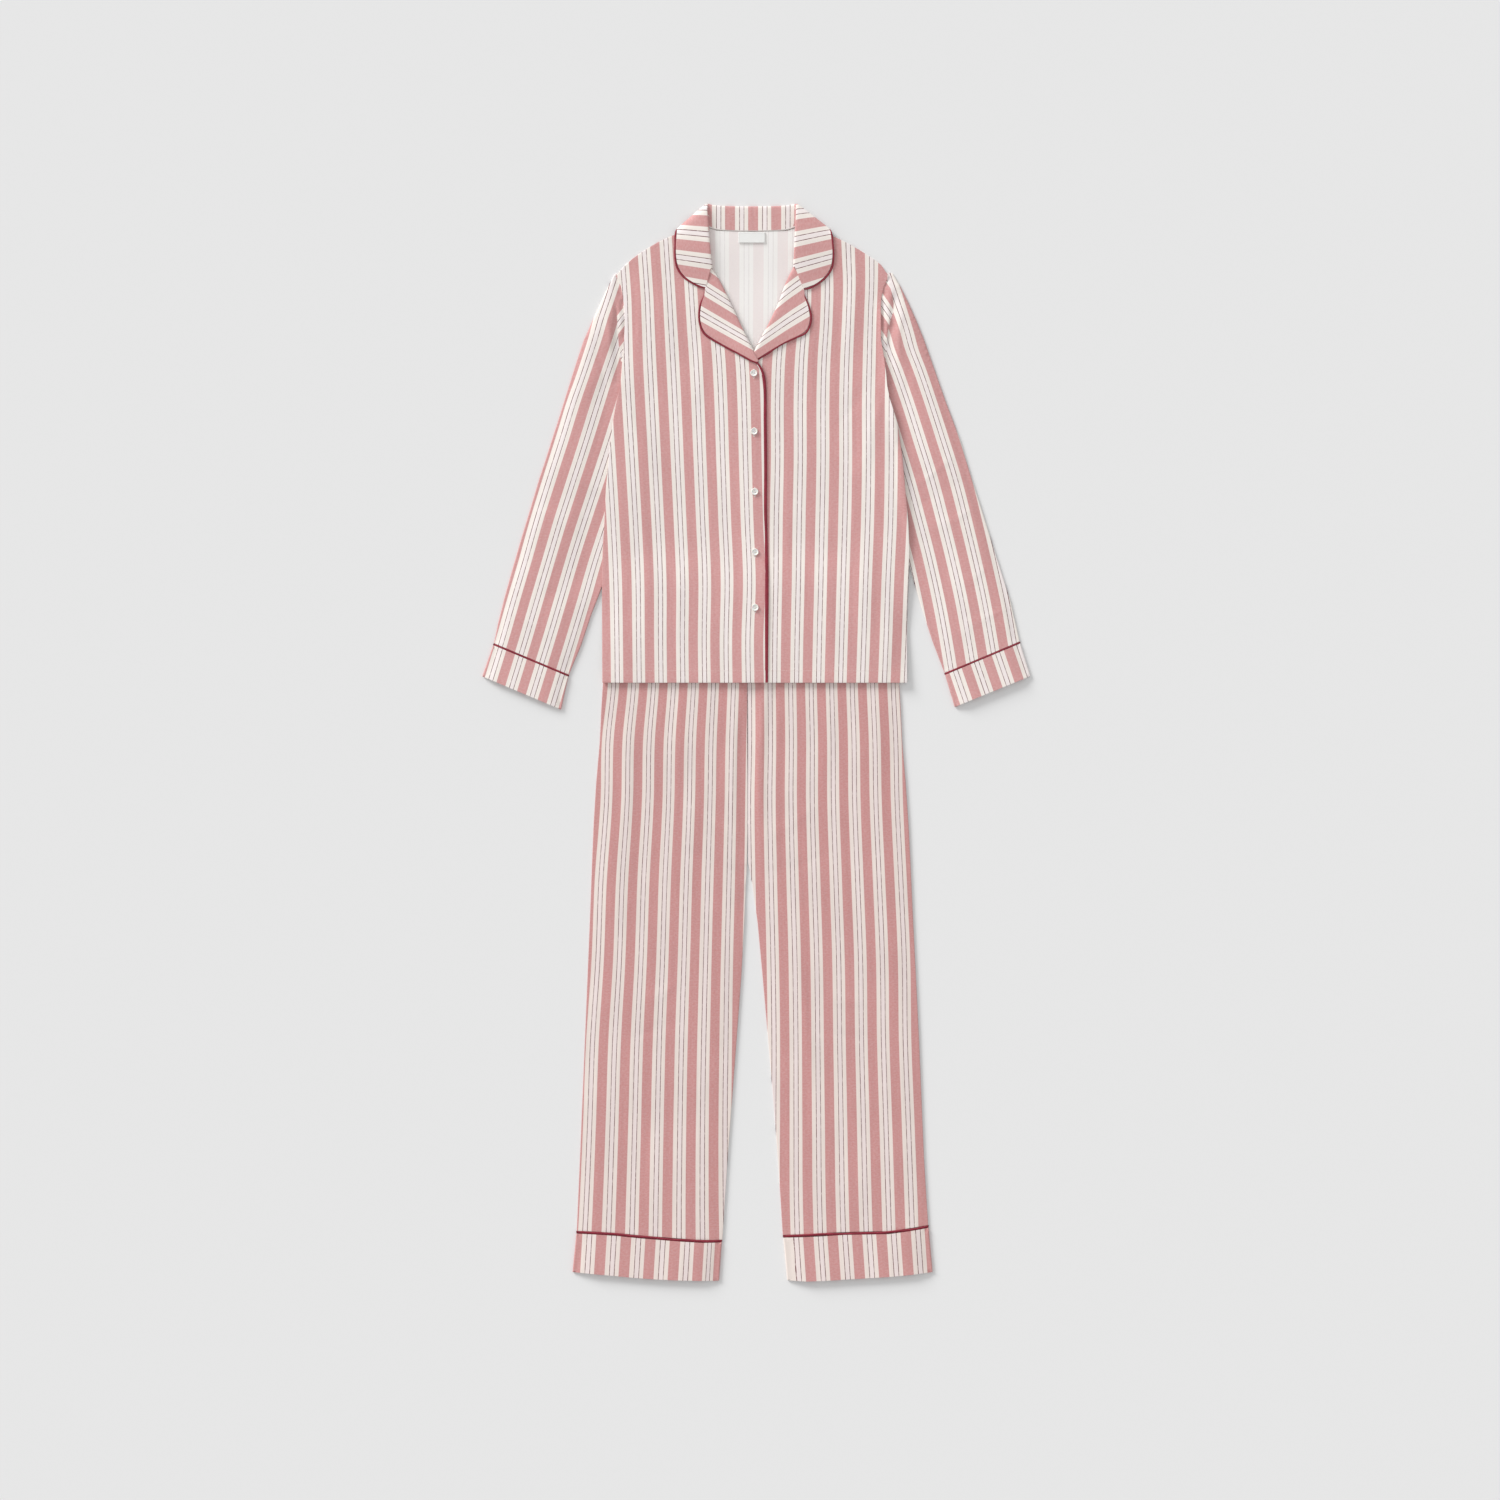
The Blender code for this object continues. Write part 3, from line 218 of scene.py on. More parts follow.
# Soft ridges and troughs: from x, y to x, y, half width and height in mm
LEFT_ARM = ((187, 665, 196, 530, 8, 2.8), (196, 560, 219, 415, 8, 3), (217, 440, 227, 290, 7, 2.6))
CREASES = {
    "jacket_front_right": (
        (-176, 700, -174, 580, 8, 1), (-150, 715, -128, 560, 9, 0.7), (-196, 560, -120, 470, 8, -0.72),
        (-198, 520, -150, 400, 10, 0.9), (-60, 640, -96, 500, 9, 0.72), (-40, 420, -32, 230, 10, -0.54),
        (-170, 330, -160, 150, 12, 0.9), (-110, 260, -118, 92, 10, 0.72), (-205, 230, -196, 92, 9, 0.9),
        (-60, 200, -64, 92, 9, 0.63),
    ),
    "jacket_front_left": (
        *LEFT_ARM, (150, 715, 132, 560, 9, 0.9), (188, 566, 120, 470, 8, -0.72),
        (192, 520, 150, 390, 10, 0.9), (70, 640, 92, 500, 9, 0.72), (50, 430, 46, 250, 11, 0.63),
        (165, 320, 158, 150, 12, 0.9), (110, 250, 112, 92, 9, 0.72), (200, 220, 192, 92, 9, 0.9),
    ),
    "jacket_back": (
        *LEFT_ARM, (-50, 760, -38, 600, 8, 0.54), (20, 764, 14, 620, 9, 0.54),
        (-120, 700, -112, 300, 12, 0.72), (90, 690, 96, 320, 12, 0.72),
    ),
    "sleeve_right": (
        (-213, 664, -207, 575, 6, -3.2), (-209, 600, -213, 470, 5, -1.2), (-200, 662, -200, 590, 5, 0.5),
        (-222, 650, -222, 590, 8, 1.08), (-240, 600, -222, 500, 8, -0.72), (-300, 420, -228, 372, 9, 0.8),
        (-318, 396, -240, 340, 9, -0.6), (-328, 352, -250, 306, 10, 0.8), (-350, 262, -300, 230, 9, 0.72),
        (-372, 200, -300, 150, 10, 0.72),
    ),
    "sleeve_left": (
        (207, 676, 199, 612, 9, -3, 0.25), (202, 634, 194, 566, 9, -3, 0.25),
        (195, 588, 199, 500, 9, -3, 0.25), (197, 536, 220, 420, 9, -3, 0.25),
        (213, 456, 228, 320, 8, -2.6, 0.25), (194, 668, 189, 600, 5, 0.6), (216, 650, 214, 560, 8, 1.26),
        (232, 600, 222, 500, 8, -0.5), (300, 430, 226, 380, 10, 0.55), (316, 396, 236, 350, 10, -0.45),
        (326, 350, 246, 316, 11, 0.55), (350, 262, 300, 236, 10, 0.45), (372, 205, 300, 160, 11, 0.5),
    ),
    "trouser_front_right": (
        (-14, 96, -14, -210, 7, 1), (-175, 30, -178, -330, 11, -0.9), (-100, -80, -96, -260, 12, 0.9),
        (-30, 90, -34, -130, 9, 1.44), (-52, 88, -60, -70, 8, -0.9), (-20, -150, -110, -90, 9, 0.9),
        (-24, -196, -120, -160, 9, -0.72), (-110, 80, -118, -60, 12, 0.9), (-190, 60, -200, -140, 12, 0.72),
        (-120, -360, -170, -390, 12, 0.72), (-110, -420, -190, -440, 10, -0.54),
        (-150, -560, -156, -720, 12, 0.72),
    ),
    "trouser_front_left": (
        (8, 96, 9, -215, 6, 1.2), (32, 96, 32, -200, 6, 1.1), (134, 40, 150, -300, 12, -0.9),
        (60, -260, 96, -620, 13, 0.8), (8, 90, 6, -120, 9, 1.44), (30, 88, 40, -70, 8, -0.9),
        (2, -150, 90, -95, 10, 0.5), (8, -200, 110, -165, 10, -0.4), (100, 80, 106, -60, 12, 0.9),
        (176, 60, 190, -140, 12, 0.72), (110, -370, 160, -396, 12, 0.72), (90, -430, 180, -446, 10, -0.54),
        (150, -560, 154, -720, 12, 0.72),
    ),
    "trouser_back_right": ((-150, 60, -160, -600, 14, 0.9), (-80, -300, -90, -700, 12, 0.72)),
    "trouser_back_left": ((140, 60, 150, -600, 14, 0.9), (70, -300, 80, -700, 12, 0.72)),
}


# Settings that a user may change


class PyjamaCloth(bpy.types.PropertyGroup):
    pink: bpy.props.FloatVectorProperty(
        name="Pink", description="Wide stripe", subtype="COLOR", size=3, default=(0.617, 0.300, 0.291)
    )
    ecru: bpy.props.FloatVectorProperty(
        name="Ecru", description="Ground of the cloth", subtype="COLOR", size=3, default=(0.87, 0.803, 0.747)
    )
    white: bpy.props.FloatVectorProperty(
        name="White", description="Band between the fine lines", subtype="COLOR", size=3,
        default=(0.87, 0.793, 0.778),
    )
    line: bpy.props.FloatVectorProperty(
        name="Line", description="Fine dark lines", subtype="COLOR", size=3, default=(0.16, 0.045, 0.055)
    )
    piping: bpy.props.FloatVectorProperty(
        name="Piping", description="Burgundy edging", subtype="COLOR", size=3, default=(0.215, 0.015, 0.03)
    )
    # Partly the trousers' own darker tone, partly painted shade for light that falls off towards them
    trouser_tone_and_shade: bpy.props.FloatVectorProperty(
        name="Trouser tone and shade", description="What the trousers' colours are multiplied by", size=3,
        default=(0.93, 0.885, 0.88),
    )
    square: bpy.props.FloatProperty(
        name="Square", description="Size of the cloth mesh's squares", default=0.005, unit="LENGTH"
    )
    hidden_square: bpy.props.FloatProperty(
        name="Hidden square", description="The same where another piece covers it",
        default=0.009, unit="LENGTH",
    )


class PyjamaTrim(bpy.types.PropertyGroup):
    piping_width: bpy.props.FloatProperty(
        name="Piping", description="Diameter of the corded edge", default=0.0029, unit="LENGTH"
    )
    stitch: bpy.props.FloatProperty(
        name="Stitch", description="Length from one stitch to the next", default=0.0032, unit="LENGTH"
    )
    thread: bpy.props.FloatProperty(
        name="Thread", description="Thickness of the sewing thread", default=0.00045, unit="LENGTH"
    )


class PyjamaStage(bpy.types.PropertyGroup):
    grey: bpy.props.FloatProperty(name="Grey", description="Of the floor, as a linear value", default=0.80)
    height: bpy.props.FloatProperty(
        name="Height", description="Of the camera above the floor", default=6.0, unit="LENGTH"
    )
    view: bpy.props.FloatProperty(
        name="View", description="Width of floor that the camera sees", default=2.25, unit="LENGTH"
    )
    centre: bpy.props.FloatVectorProperty(
        name="Centre", description="Point under the camera", size=2,
        default=(-0.0096, -0.01065), unit="LENGTH",
    )


SETTINGS = {"pyjama_cloth": PyjamaCloth, "pyjama_trim": PyjamaTrim, "pyjama_stage": PyjamaStage}


# Lines and curves


def step(value, start, end):
    """0 at start and 1 at end, with a soft S between them."""
    t = np.clip((value - start) / (end - start), 0.0, 1.0)
    return t * t * (3 - 2 * t)


def through(knots, values, at):
    """Values at `at` on a smooth curve through the knots, straight on past the last ones."""
    knots, values = np.asarray(knots, float), np.asarray(values, float)
    if knots[0] > knots[-1]:
        knots, values = knots[::-1], values[::-1]
    rises = np.diff(values) / np.diff(knots)
    slopes = np.concatenate([rises[:1], (rises[1:] + rises[:-1]) / 2, rises[-1:]])
    i = np.clip(np.searchsorted(knots, at) - 1, 0, len(rises) - 1)
    gap = knots[i + 1] - knots[i]
    t = (at - knots[i]) / gap
    inside = (
        values[i] * (2 * t**3 - 3 * t**2 + 1)
        + gap * slopes[i] * (t**3 - 2 * t**2 + t)
        + values[i + 1] * (3 * t**2 - 2 * t**3)
        + gap * slopes[i + 1] * (t**3 - t**2)
    )
    before = values[0] + slopes[0] * (at - knots[0])
    after = values[-1] + slopes[-1] * (at - knots[-1])
    return np.where(at < knots[0], before, np.where(at > knots[-1], after, inside))


def crease_height(name, x, y):
    """Height of a piece's ridges and troughs at points, in mm: each fades out at its ends. One that has a
    seventh value is narrowed by it on its left side; the others waver.
    """
    total = np.zeros_like(x)
    for x0, y0, x1, y1, half, height, *narrowed in CREASES.get(name, ()):
        run_x, run_y = x1 - x0, y1 - y0
        length = math.hypot(run_x, run_y)
        share = ((x - x0) * run_x + (y - y0) * run_y) / length**2
        off = ((x - x0) * run_y - (y - y0) * run_x) / length
        if narrowed:
            width = half * np.where(off > 0, narrowed[0], 1)
        else:
            off = off + 0.25 * half * np.sin(share * 5 + x0)
            width = half * (0.75 + 0.35 * np.sin(share * 4 + y0))
        fade = step(share, -0.12, 0.25) * step(-share, -1.12, -0.7)
        total += height * fade * np.exp(-((off / width) ** 2))
    return total


# Cloth meshes


def merged(node):
    """A closed copy of a CAD piece's mesh."""
    bm = bmesh.new()
    bm.from_mesh(frame["nodes"][node].data)
    bmesh.ops.remove_doubles(bm, verts=bm.verts[:], dist=MERGE)
    bm.normal_update()
    return bm


def upper_faces(bm):
    """The faces on top of a piece, joined to its highest one."""
    start = max(bm.faces, key=lambda face: face.calc_center_median().z if face.normal.z > 0.5 else -1)
    found = {start}
    todo = [start]
    while todo:
        for edge in todo.pop().edges:
            for face in edge.link_faces:
                if face not in found and face.normal.z > 0.05:
                    found.add(face)
                    todo.append(face)
    return found


def outline(bm, faces, node, fold=0.0):
    """The points round a set of faces, in order and in metres: spaced out except on a tube's fold, whose
    height fold is, and drawn over.
    """
    ring = [edge for edge in bm.edges if sum(face in faces for face in edge.link_faces) == 1]
    left = set(ring)
    edge = ring[0]
    vert = edge.verts[0]
    points = []
    while edge is not None:
        left.discard(edge)
        points.append(vert.co.copy())
        vert = edge.other_vert(vert)
        edge = next((other for other in vert.link_edges if other in left), None)
    low, apart = fold * MM, OUTLINE_PITCH * MM
    folded = [point for point in points if point.z < low]
    spaced = []
    for point in points:
        if point.z < low or all((point - other).xy.length > apart for other in folded + spaced):
            spaced.append(point)
    for point, dx, dy in zip(spaced, *pulled(node, *np.array([point[:2] for point in spaced]).T / MM)):
        point += Vector((dx, dy, 0)) * MM
    return spaced


def flat_sheet(points, rings, square, cut=()):
    """A flat sheet of small squares inside an outline. Its layers hold how far in a point of the outer rings
    is, and the height of the outline beside it. cut is a line in mm that its squares are split along.
    """
    bm = bmesh.new()
    depth = bm.verts.layers.float.new("depth")
    rise = bm.verts.layers.float.new("rise")
    verts = [bm.verts.new((point.x, point.y, 0)) for point in points]
    for vert, point in zip(verts, points):
        vert[rise] = point.z
    face = bm.faces.new(verts)
    face.normal_update()
    if face.normal.z < 0:
        face.normal_flip()
    for before, ring in zip((0, *rings), rings):
        bmesh.ops.inset_individual(bm, faces=[face], thickness=(ring - before) * MM, use_even_offset=False)
        inner = set(face.verts)
        for vert in face.verts:
            vert[depth] = ring * MM
            around = (edge.other_vert(vert) for edge in vert.link_edges)
            vert[rise] = next(other for other in around if other not in inner)[rise]
    for axis in (1, 0):
        places = [point[axis] / square for point in points]
        for k in range(math.ceil(min(places)), math.floor(max(places)) + 1):
            normal, place = [0, 0, 0], [0, 0, 0]
            normal[axis], place[axis] = 1, k * square
            geom = bm.verts[:] + bm.edges[:] + bm.faces[:]
            bmesh.ops.bisect_plane(bm, geom=geom, dist=SPLIT, plane_co=place, plane_no=normal)
    for first, second in zip(cut, cut[1:]):
        split_along(bm, Vector((*first, 0)) * MM, Vector((*second, 0)) * MM, square)
    odd = [face for face in bm.faces if len(face.verts) > 4]
    bmesh.ops.triangulate(bm, faces=odd, quad_method="BEAUTY", ngon_method="BEAUTY")
    return bm


def split_along(bm, first, second, reach):
    """Splits the faces of a flat sheet that lie beside a short line."""
    run = second - first
    near = []
    for face in bm.faces:
        at = face.calc_center_median() - first
        share = at.dot(run) / run.length_squared
        if 0 <= share <= 1 and (at - run * share).length < reach:
            near.append(face)
    bm.verts.index_update()
    bm.edges.index_update()
    verts = sorted({vert for face in near for vert in face.verts}, key=lambda vert: vert.index)
    edges = sorted({edge for face in near for edge in face.edges}, key=lambda edge: edge.index)
    geom = verts + edges + near
    bmesh.ops.bisect_plane(bm, geom=geom, dist=SPLIT, plane_co=first, plane_no=(run.y, -run.x, 0))


def pulled(node, x, y):
    """How far points of a piece are drawn over, in mm."""
    total, weights = np.zeros((2, len(x))), np.ones(len(x))
    for reach, *points in PULLS.get(node, ()):
        for (x0, y0, dx0, dy0), (x1, y1, dx1, dy1) in zip(points, points[1:]):
            run = np.array((x1 - x0, y1 - y0))
            share = np.clip(((x - x0) * run[0] + (y - y0) * run[1]) / (run @ run), 0, 1)
            near = np.hypot(x - x0 - run[0] * share, y - y0 - run[1] * share)
            weight = np.exp(-((near / reach) ** 2))
            total += weight * np.stack([dx0 + (dx1 - dx0) * share, dy0 + (dy1 - dy0) * share])
            weights += weight
    return total / np.maximum(weights - 1, 1)


def heights(bm, tree, easing):
    """Heights of a CAD piece's top and under side at a flat sheet's points, eased over the sheet."""
    bm.verts.index_update()
    count = len(bm.verts)
    top, under = np.zeros(count), np.zeros(count)
    for i, vert in enumerate(bm.verts):
        middle = sum((face.calc_center_median() for face in vert.link_faces), Vector()) / len(vert.link_faces)
        shift = middle - vert.co
        at = vert.co + (shift.normalized() * PROBE_IN if shift.length > PROBE_IN else shift)
        hit = tree.ray_cast(Vector((at.x, at.y, 1)), -UP)[0]
        low = tree.ray_cast(Vector((at.x, at.y, -1)), UP)[0]
        near = tree.find_nearest(at)[0] if hit is None or low is None else None
        top[i] = hit.z if hit else near.z
        under[i] = low.z if low else near.z
    first, second = np.array([(edge.verts[0].index, edge.verts[1].index) for edge in bm.edges]).T
    weights = np.array([(edge.calc_length() / MM + 0.2) ** -2 for edge in bm.edges])
    links = np.bincount(first, weights, count) + np.bincount(second, weights, count)
    for field in (top, under):
        for _ in range(easing):
            total = np.bincount(first, weights * field[second], count)
            total += np.bincount(second, weights * field[first], count)
            field += 0.5 * (total / links - field)
    return top, under


def round_edge(depth, radius):
    """How far a rounded edge lies below its crown at a depth in from it."""
    left = 1 - np.clip(depth / radius, 0, 1)
    return radius * (1 - np.sqrt(1 - left * left))


def two_sheets(bm, top, under, seam):
    """Lays a flat sheet on heights, adds the sheet under it and joins both where seam is true."""
    number = bm.verts.layers.int.new("number")
    for i, vert in enumerate(bm.verts):
        vert[number] = i
    copied = bmesh.ops.duplicate(bm, geom=bm.verts[:] + bm.edges[:] + bm.faces[:])["geom"]
    lower_faces = [item for item in copied if isinstance(item, bmesh.types.BMFace)]
    lower = {item for item in copied if isinstance(item, bmesh.types.BMVert)}
    for vert in bm.verts:
        vert.co.z = (under if vert in lower else top)[vert[number]]
    for face in lower_faces:
        face.material_index = 1
    bmesh.ops.reverse_faces(bm, faces=lower_faces)
    bmesh.ops.remove_doubles(bm, verts=[vert for vert in bm.verts if seam[vert[number]]], dist=MERGE)


def arrays(bm):
    """Points and the two layers of a flat sheet, in mm."""
    depth, rise = bm.verts.layers.float["depth"], bm.verts.layers.float["rise"]
    co = np.array([vert.co[:] for vert in bm.verts]) / MM
    return co[:, 0], co[:, 1], *np.array([(vert[depth], vert[rise]) for vert in bm.verts]).T / MM


def lay_panel(node, square, hem=False):
    """One layer of cloth on a CAD panel's form, rounded at its edges, with its creases. A hem rises where
    it is folded up inside.
    """
    cad = merged(node)
    tree = BVHTree.FromBMesh(cad)
    bm = flat_sheet(outline(cad, upper_faces(cad), node), PANEL_RINGS, square)
    cad.free()
    top, under = (field / MM for field in heights(bm, tree, EASINGS.get(node, EASING)))
    x, y, depth, _ = arrays(bm)
    edge = depth < ON_EDGE
    half = np.maximum(top - under, LEAST_THICK) / 2
    crease = np.maximum(crease_height(node, x, y), -0.8 * half)
    drop = round_edge(depth, half)
    if hem:
        top = top + TURN_UP_RISE * step(y, HEM_Y + TURN_UP + 1.2, HEM_Y + TURN_UP)
    lifted = np.maximum(crease, 0)
    middle = (top + under) / 2 + lifted
    upper = np.where(edge, middle, top - drop + crease)
    lower = np.where(edge, middle, under + drop + lifted)
    two_sheets(bm, upper * MM, lower * MM, edge)
    return bm


def lay_tube(node, square, ripple=None):
    """A tube of cloth that lies flat, on a CAD tube's form, folded at its sides and open at its ends.
    ripple(x, y) is the height of its gathers.
    """
    cad = merged(node)
    tree = BVHTree.FromBMesh(cad)
    top_faces = upper_faces(cad)
    fold = min(vert.co.z for face in top_faces for vert in face.verts) / MM
    points = outline(cad, top_faces, node, fold + OPEN_RISE)
    bm = flat_sheet(points, TUBE_RINGS, square, CAPS[node][0] if node in CAPS else ())
    cad.free()
    top = heights(bm, tree, EASING)[0] / MM
    x, y, depth, rise = arrays(bm)
    beside_fold = rise < fold + OPEN_RISE
    turning = np.sqrt(np.maximum(fold**2 - np.maximum(fold - depth, 0) ** 2, 0))
    upper = np.maximum(top + crease_height(node, x, y), LEAST_HEIGHT)
    if ripple:
        upper = upper + ripple(x, y)
    rounded = np.where(depth < fold, fold + turning, np.maximum(fold + turning, upper))
    upper = np.where(beside_fold, rounded, upper)
    lower = np.where(beside_fold & (depth < fold), fold - turning, 0)
    edge = beside_fold & (depth < ON_EDGE)
    upper[edge] = lower[edge] = fold
    two_sheets(bm, upper * MM, lower * MM, edge)
    return bm


def read(items, name, width=1, kind=np.int32):
    """A value of every item of a mesh."""
    values = np.zeros(len(items) * width, kind)
    items.foreach_get(name, values)
    return values.reshape(-1, width).squeeze()


def add_stripes(mesh, place, *zones):
    """A UV map of the stripes, repeats across and metres along, from place(x, y) in mm. Each zone is the
    inside(x, y) that faces with their middle in it satisfy, and the place(x, y) of their own stripes.
    """
    at = read(mesh.vertices, "co", 3, np.float32)[read(mesh.loops, "vertex_index")].astype(float) / MM
    middles = read(mesh.polygons, "center", 3, np.float32) / MM
    middle = np.repeat(middles, read(mesh.polygons, "loop_total"), axis=0)
    uv = np.zeros((len(at), 2))
    for inside, own in ((None, place), *zones):
        across, along = own(at[:, 0], at[:, 1])
        chosen = inside(middle[:, 0], middle[:, 1]) if inside else slice(None)
        uv[chosen] = np.stack([across, along * MM], axis=1)[chosen]
    layer = mesh.uv_layers.new(name="stripes")
    layer.data.foreach_set("uv", uv.astype(np.float32).ravel())


def down_rows(rows):
    """Stripes that run down a piece: place(x, y) from rows of (y, x of a stripe, repeat)."""
    ys, xs, repeats = np.array(rows).T
    return lambda x, y: ((x - through(ys, xs, y)) / through(ys, repeats, y), y)


def across_rows(rows):
    """Stripes that run across a piece: place(x, y) from rows of (x, y of a stripe, repeat)."""
    place = down_rows(rows)
    return lambda x, y: place(y, x)


def cuff_rows(start, end, first, repeat, lean, low=0.0, high=1.0, crowding=0.0):
    """Stripes square to a cuff's seam: place(x, y) from a row of CUFF_ROWS."""
    start, run = np.array(start), np.array(end) - np.array(start)
    run /= np.linalg.norm(run)

    def place(x, y):
        reach = (x - start[0]) * run[0] + (y - start[1]) * run[1]
        crowded = crowding * np.clip((reach - low) / (high - low), 0, 1)
        above = (y - start[1]) * run[0] - (x - start[0]) * run[1]
        return (reach - lean * above - first) / repeat + crowded, above

    return place


def walk(start):
    """Points of a mesh by how many edges away from the first ones they are."""
    layers, seen = [list(start)], set(start)
    while layers[-1]:
        ring = []
        for vert in layers[-1]:
            for edge in vert.link_edges:
                other = edge.other_vert(vert)
                if other not in seen:
                    seen.add(other)
                    ring.append(other)
        layers.append(ring)
    return layers[:-1]


def middle_of(verts):
    return sum((vert.co for vert in verts), Vector()) / len(verts)


def cord_line(node):
    """Middles of a CAD cord's rings from one end to the other, in mm."""
    bm = merged(node)
    bm.verts.ensure_lookup_table()
    tip = walk([bm.verts[0]])[-1][0]
    ahead = (tip.co - middle_of([vert for ring in walk([tip])[1:4] for vert in ring])).normalized()
    cap = set()
    for face in bm.faces:
        if face.normal.dot(ahead) > 0.8 and (face.calc_center_median() - tip.co).length < 4 * MM:
            cap.update(face.verts)
    rings = walk(sorted(cap, key=lambda vert: vert.index))
    if any(len(ring) != len(rings[0]) for ring in rings):
        raise RuntimeError(f"{node}: its rings have {[len(ring) for ring in rings]} points")
    line = np.array([middle_of(ring)[:] for ring in rings]) / MM
    bm.free()
    return line


def reach_along(points):
    """How far along a line each of its points is."""
    return np.concatenate([[0], np.cumsum(np.linalg.norm(np.diff(points, axis=0), axis=1))])


def smooth_line(points, pitch):
    """Points at an even pitch on a smooth curve through others."""
    points = np.asarray(points, float)
    reach = reach_along(points)
    at = np.linspace(0, reach[-1], max(2, round(reach[-1] / pitch) + 1))
    return np.stack([through(reach, points[:, k], at) for k in range(3)], axis=1)


def unit(vectors):
    return vectors / np.linalg.norm(vectors, axis=1, keepdims=True)


def sweep(bm, line, width, height, sides=10, aside=None, closed=False):
    """Adds a cord with an oval section along a line in mm. aside is its width's direction where that stays
    the same; else it is level.
    """
    line = np.asarray(line, float)
    ahead = np.roll(line, -1, axis=0) - np.roll(line, 1, axis=0) if closed else np.gradient(line, axis=0)
    ahead = unit(ahead)
    across = unit(np.cross(ahead, (0, 0, 1)) if aside is None else np.tile(aside, (len(line), 1)))
    above = np.cross(across, ahead)
    turns = 2 * np.pi * np.arange(sides) / sides
    rings = []
    for point, beside, over, wide in zip(line, across, above, np.broadcast_to(width, len(line))):
        ring = point + (np.outer(np.cos(turns), beside) * wide + np.outer(np.sin(turns), over) * height) / 2
        rings.append([bm.verts.new(at * MM) for at in ring])
    for first, second in zip(rings, rings[1:] + rings[:1] * closed):
        for k in range(sides):
            bm.faces.new((first[k - 1], second[k - 1], second[k], first[k]))
    if not closed:
        bm.faces.new(rings[0])
        bm.faces.new(rings[-1][::-1])


def tree_of(name):
    """A search tree of a finished piece's mesh."""
    bm = bmesh.new()
    bm.from_mesh(bpy.data.objects[name].data)
    tree = BVHTree.FromBMesh(bm)
    bm.free()
    return tree


def height_on(tree, x, y, down=True):
    """Height of a piece at x, y in mm, from above or from below; None beside it."""
    side = 1 if down else -1
    hit = tree.ray_cast(Vector((x * MM, y * MM, side)), Vector((0, 0, -side)))[0]
    return hit.z / MM if hit else None


def stitch_row(bm, tree, points, pitch, thread, down=True, sink=0.1):
    """Adds a row of stitches along points in mm, on top of a piece or, if not down, under it."""
    points = np.asarray(points, float)
    reach = reach_along(points)
    count = int(reach[-1] / pitch)
    side = 1 if down else -1
    for k in range(count):
        ends = []
        for share in (0.12, 0.88):
            x, y = (np.interp((k + share) * reach[-1] / count, reach, points[:, i]) for i in (0, 1))
            z = height_on(tree, x, y, down)
            ends.append(None if z is None else Vector((x, y, z + side * (thread / 2 - sink))))
        if None in ends or abs(ends[0].z - ends[1].z) > 0.5:
            continue
        run = ends[1] - ends[0]
        turn = run.to_track_quat("X", "Z").to_matrix().to_4x4()
        size = Matrix.Diagonal((run.length * MM / 2, thread * MM / 2, thread * MM / 2, 1))
        place = Matrix.Translation((ends[0] + ends[1]) / 2 * MM)
        bmesh.ops.create_icosphere(bm, subdivisions=1, radius=1, matrix=place @ turn @ size)


def mesh_of(bm, name):
    """A finished mesh. Its bmesh is freed."""
    mesh = bpy.data.meshes.new(name)
    bm.to_mesh(mesh)
    bm.free()
    return mesh


def new_object(name, data):
    made = bpy.data.objects.new(name, data)
    bpy.context.scene.collection.objects.link(made)
    return made


def finish(bm, name, looks, nodes, smooth_angle=40):
    """A finished piece from a mesh: shaded smooth, riding on the set, in place of its CAD pieces."""
    mesh = mesh_of(bm, name)
    mesh.shade_smooth()
    mesh.set_sharp_from_angle(angle=math.radians(smooth_angle))
    for look in looks:
        mesh.materials.append(materials()[look])
    made = new_object(name, mesh)
    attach(made, "root")
    if nodes:
        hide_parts(*nodes)
    return made


# Materials


def new_group(name, inputs):
    """A shader node group that gives a colour, a roughness and a height: itself, its inputs and its end."""
    group = bpy.data.node_groups.new(name, "ShaderNodeTree")
    outputs = {"Colour": "Color", "Roughness": "Float", "Height": "Float"}
    for way, sockets in (("INPUT", inputs), ("OUTPUT", outputs)):
        for label, kind in sockets.items():
            group.interface.new_socket(name=label, in_out=way, socket_type="NodeSocket" + kind)
    return group, group.nodes.new("NodeGroupInput").outputs, group.nodes.new("NodeGroupOutput")


def wire(node, values):
    """Links or sets a node's inputs, by their names or places."""
    for key, value in values.items():
        if isinstance(value, bpy.types.NodeSocket):
            node.id_data.links.new(value, node.inputs[key])
        else:
            node.inputs[key].default_value = value


def add_node(tree, kind, values, **settings):
    node = tree.nodes.new("ShaderNode" + kind)
    for name, value in settings.items():
        setattr(node, name, value)
    wire(node, values)
    return node


def maths(operation, *values, clamp=False):
    """Like the functions below, adds its node to the tree of the first socket it takes."""
    node = add_node(values[0].id_data, "Math", dict(enumerate(values)), operation=operation, use_clamp=clamp)
    return node.outputs[0]


def times(first, second):
    return maths("MULTIPLY", first, second)


def blend(share, first, second):
    return add_node(share.id_data, "Mix", {0: share, 6: first, 7: second}, data_type="RGBA").outputs[2]


def soft_step(value, start, end, low=0.0, high=1.0):
    values = dict(enumerate((value, start, end, low, high)))
    return add_node(value.id_data, "MapRange", values, interpolation_type="SMOOTHSTEP").outputs[0]


def band(value, middle, half, edge):
    """1 inside a band of values and 0 outside it, with soft edges."""
    return soft_step(maths("ABSOLUTE", maths("SUBTRACT", value, middle)), half + edge, half - edge)


def noise(place, scale, detail=2.0, rough=0.5):
    values = {"Vector": place, "Scale": scale, "Detail": detail, "Roughness": rough}
    return add_node(place.id_data, "TexNoise", values).outputs["Fac"]


def combine(x, y):
    return add_node(x.id_data, "CombineXYZ", {0: x, 1: y}).outputs[0]


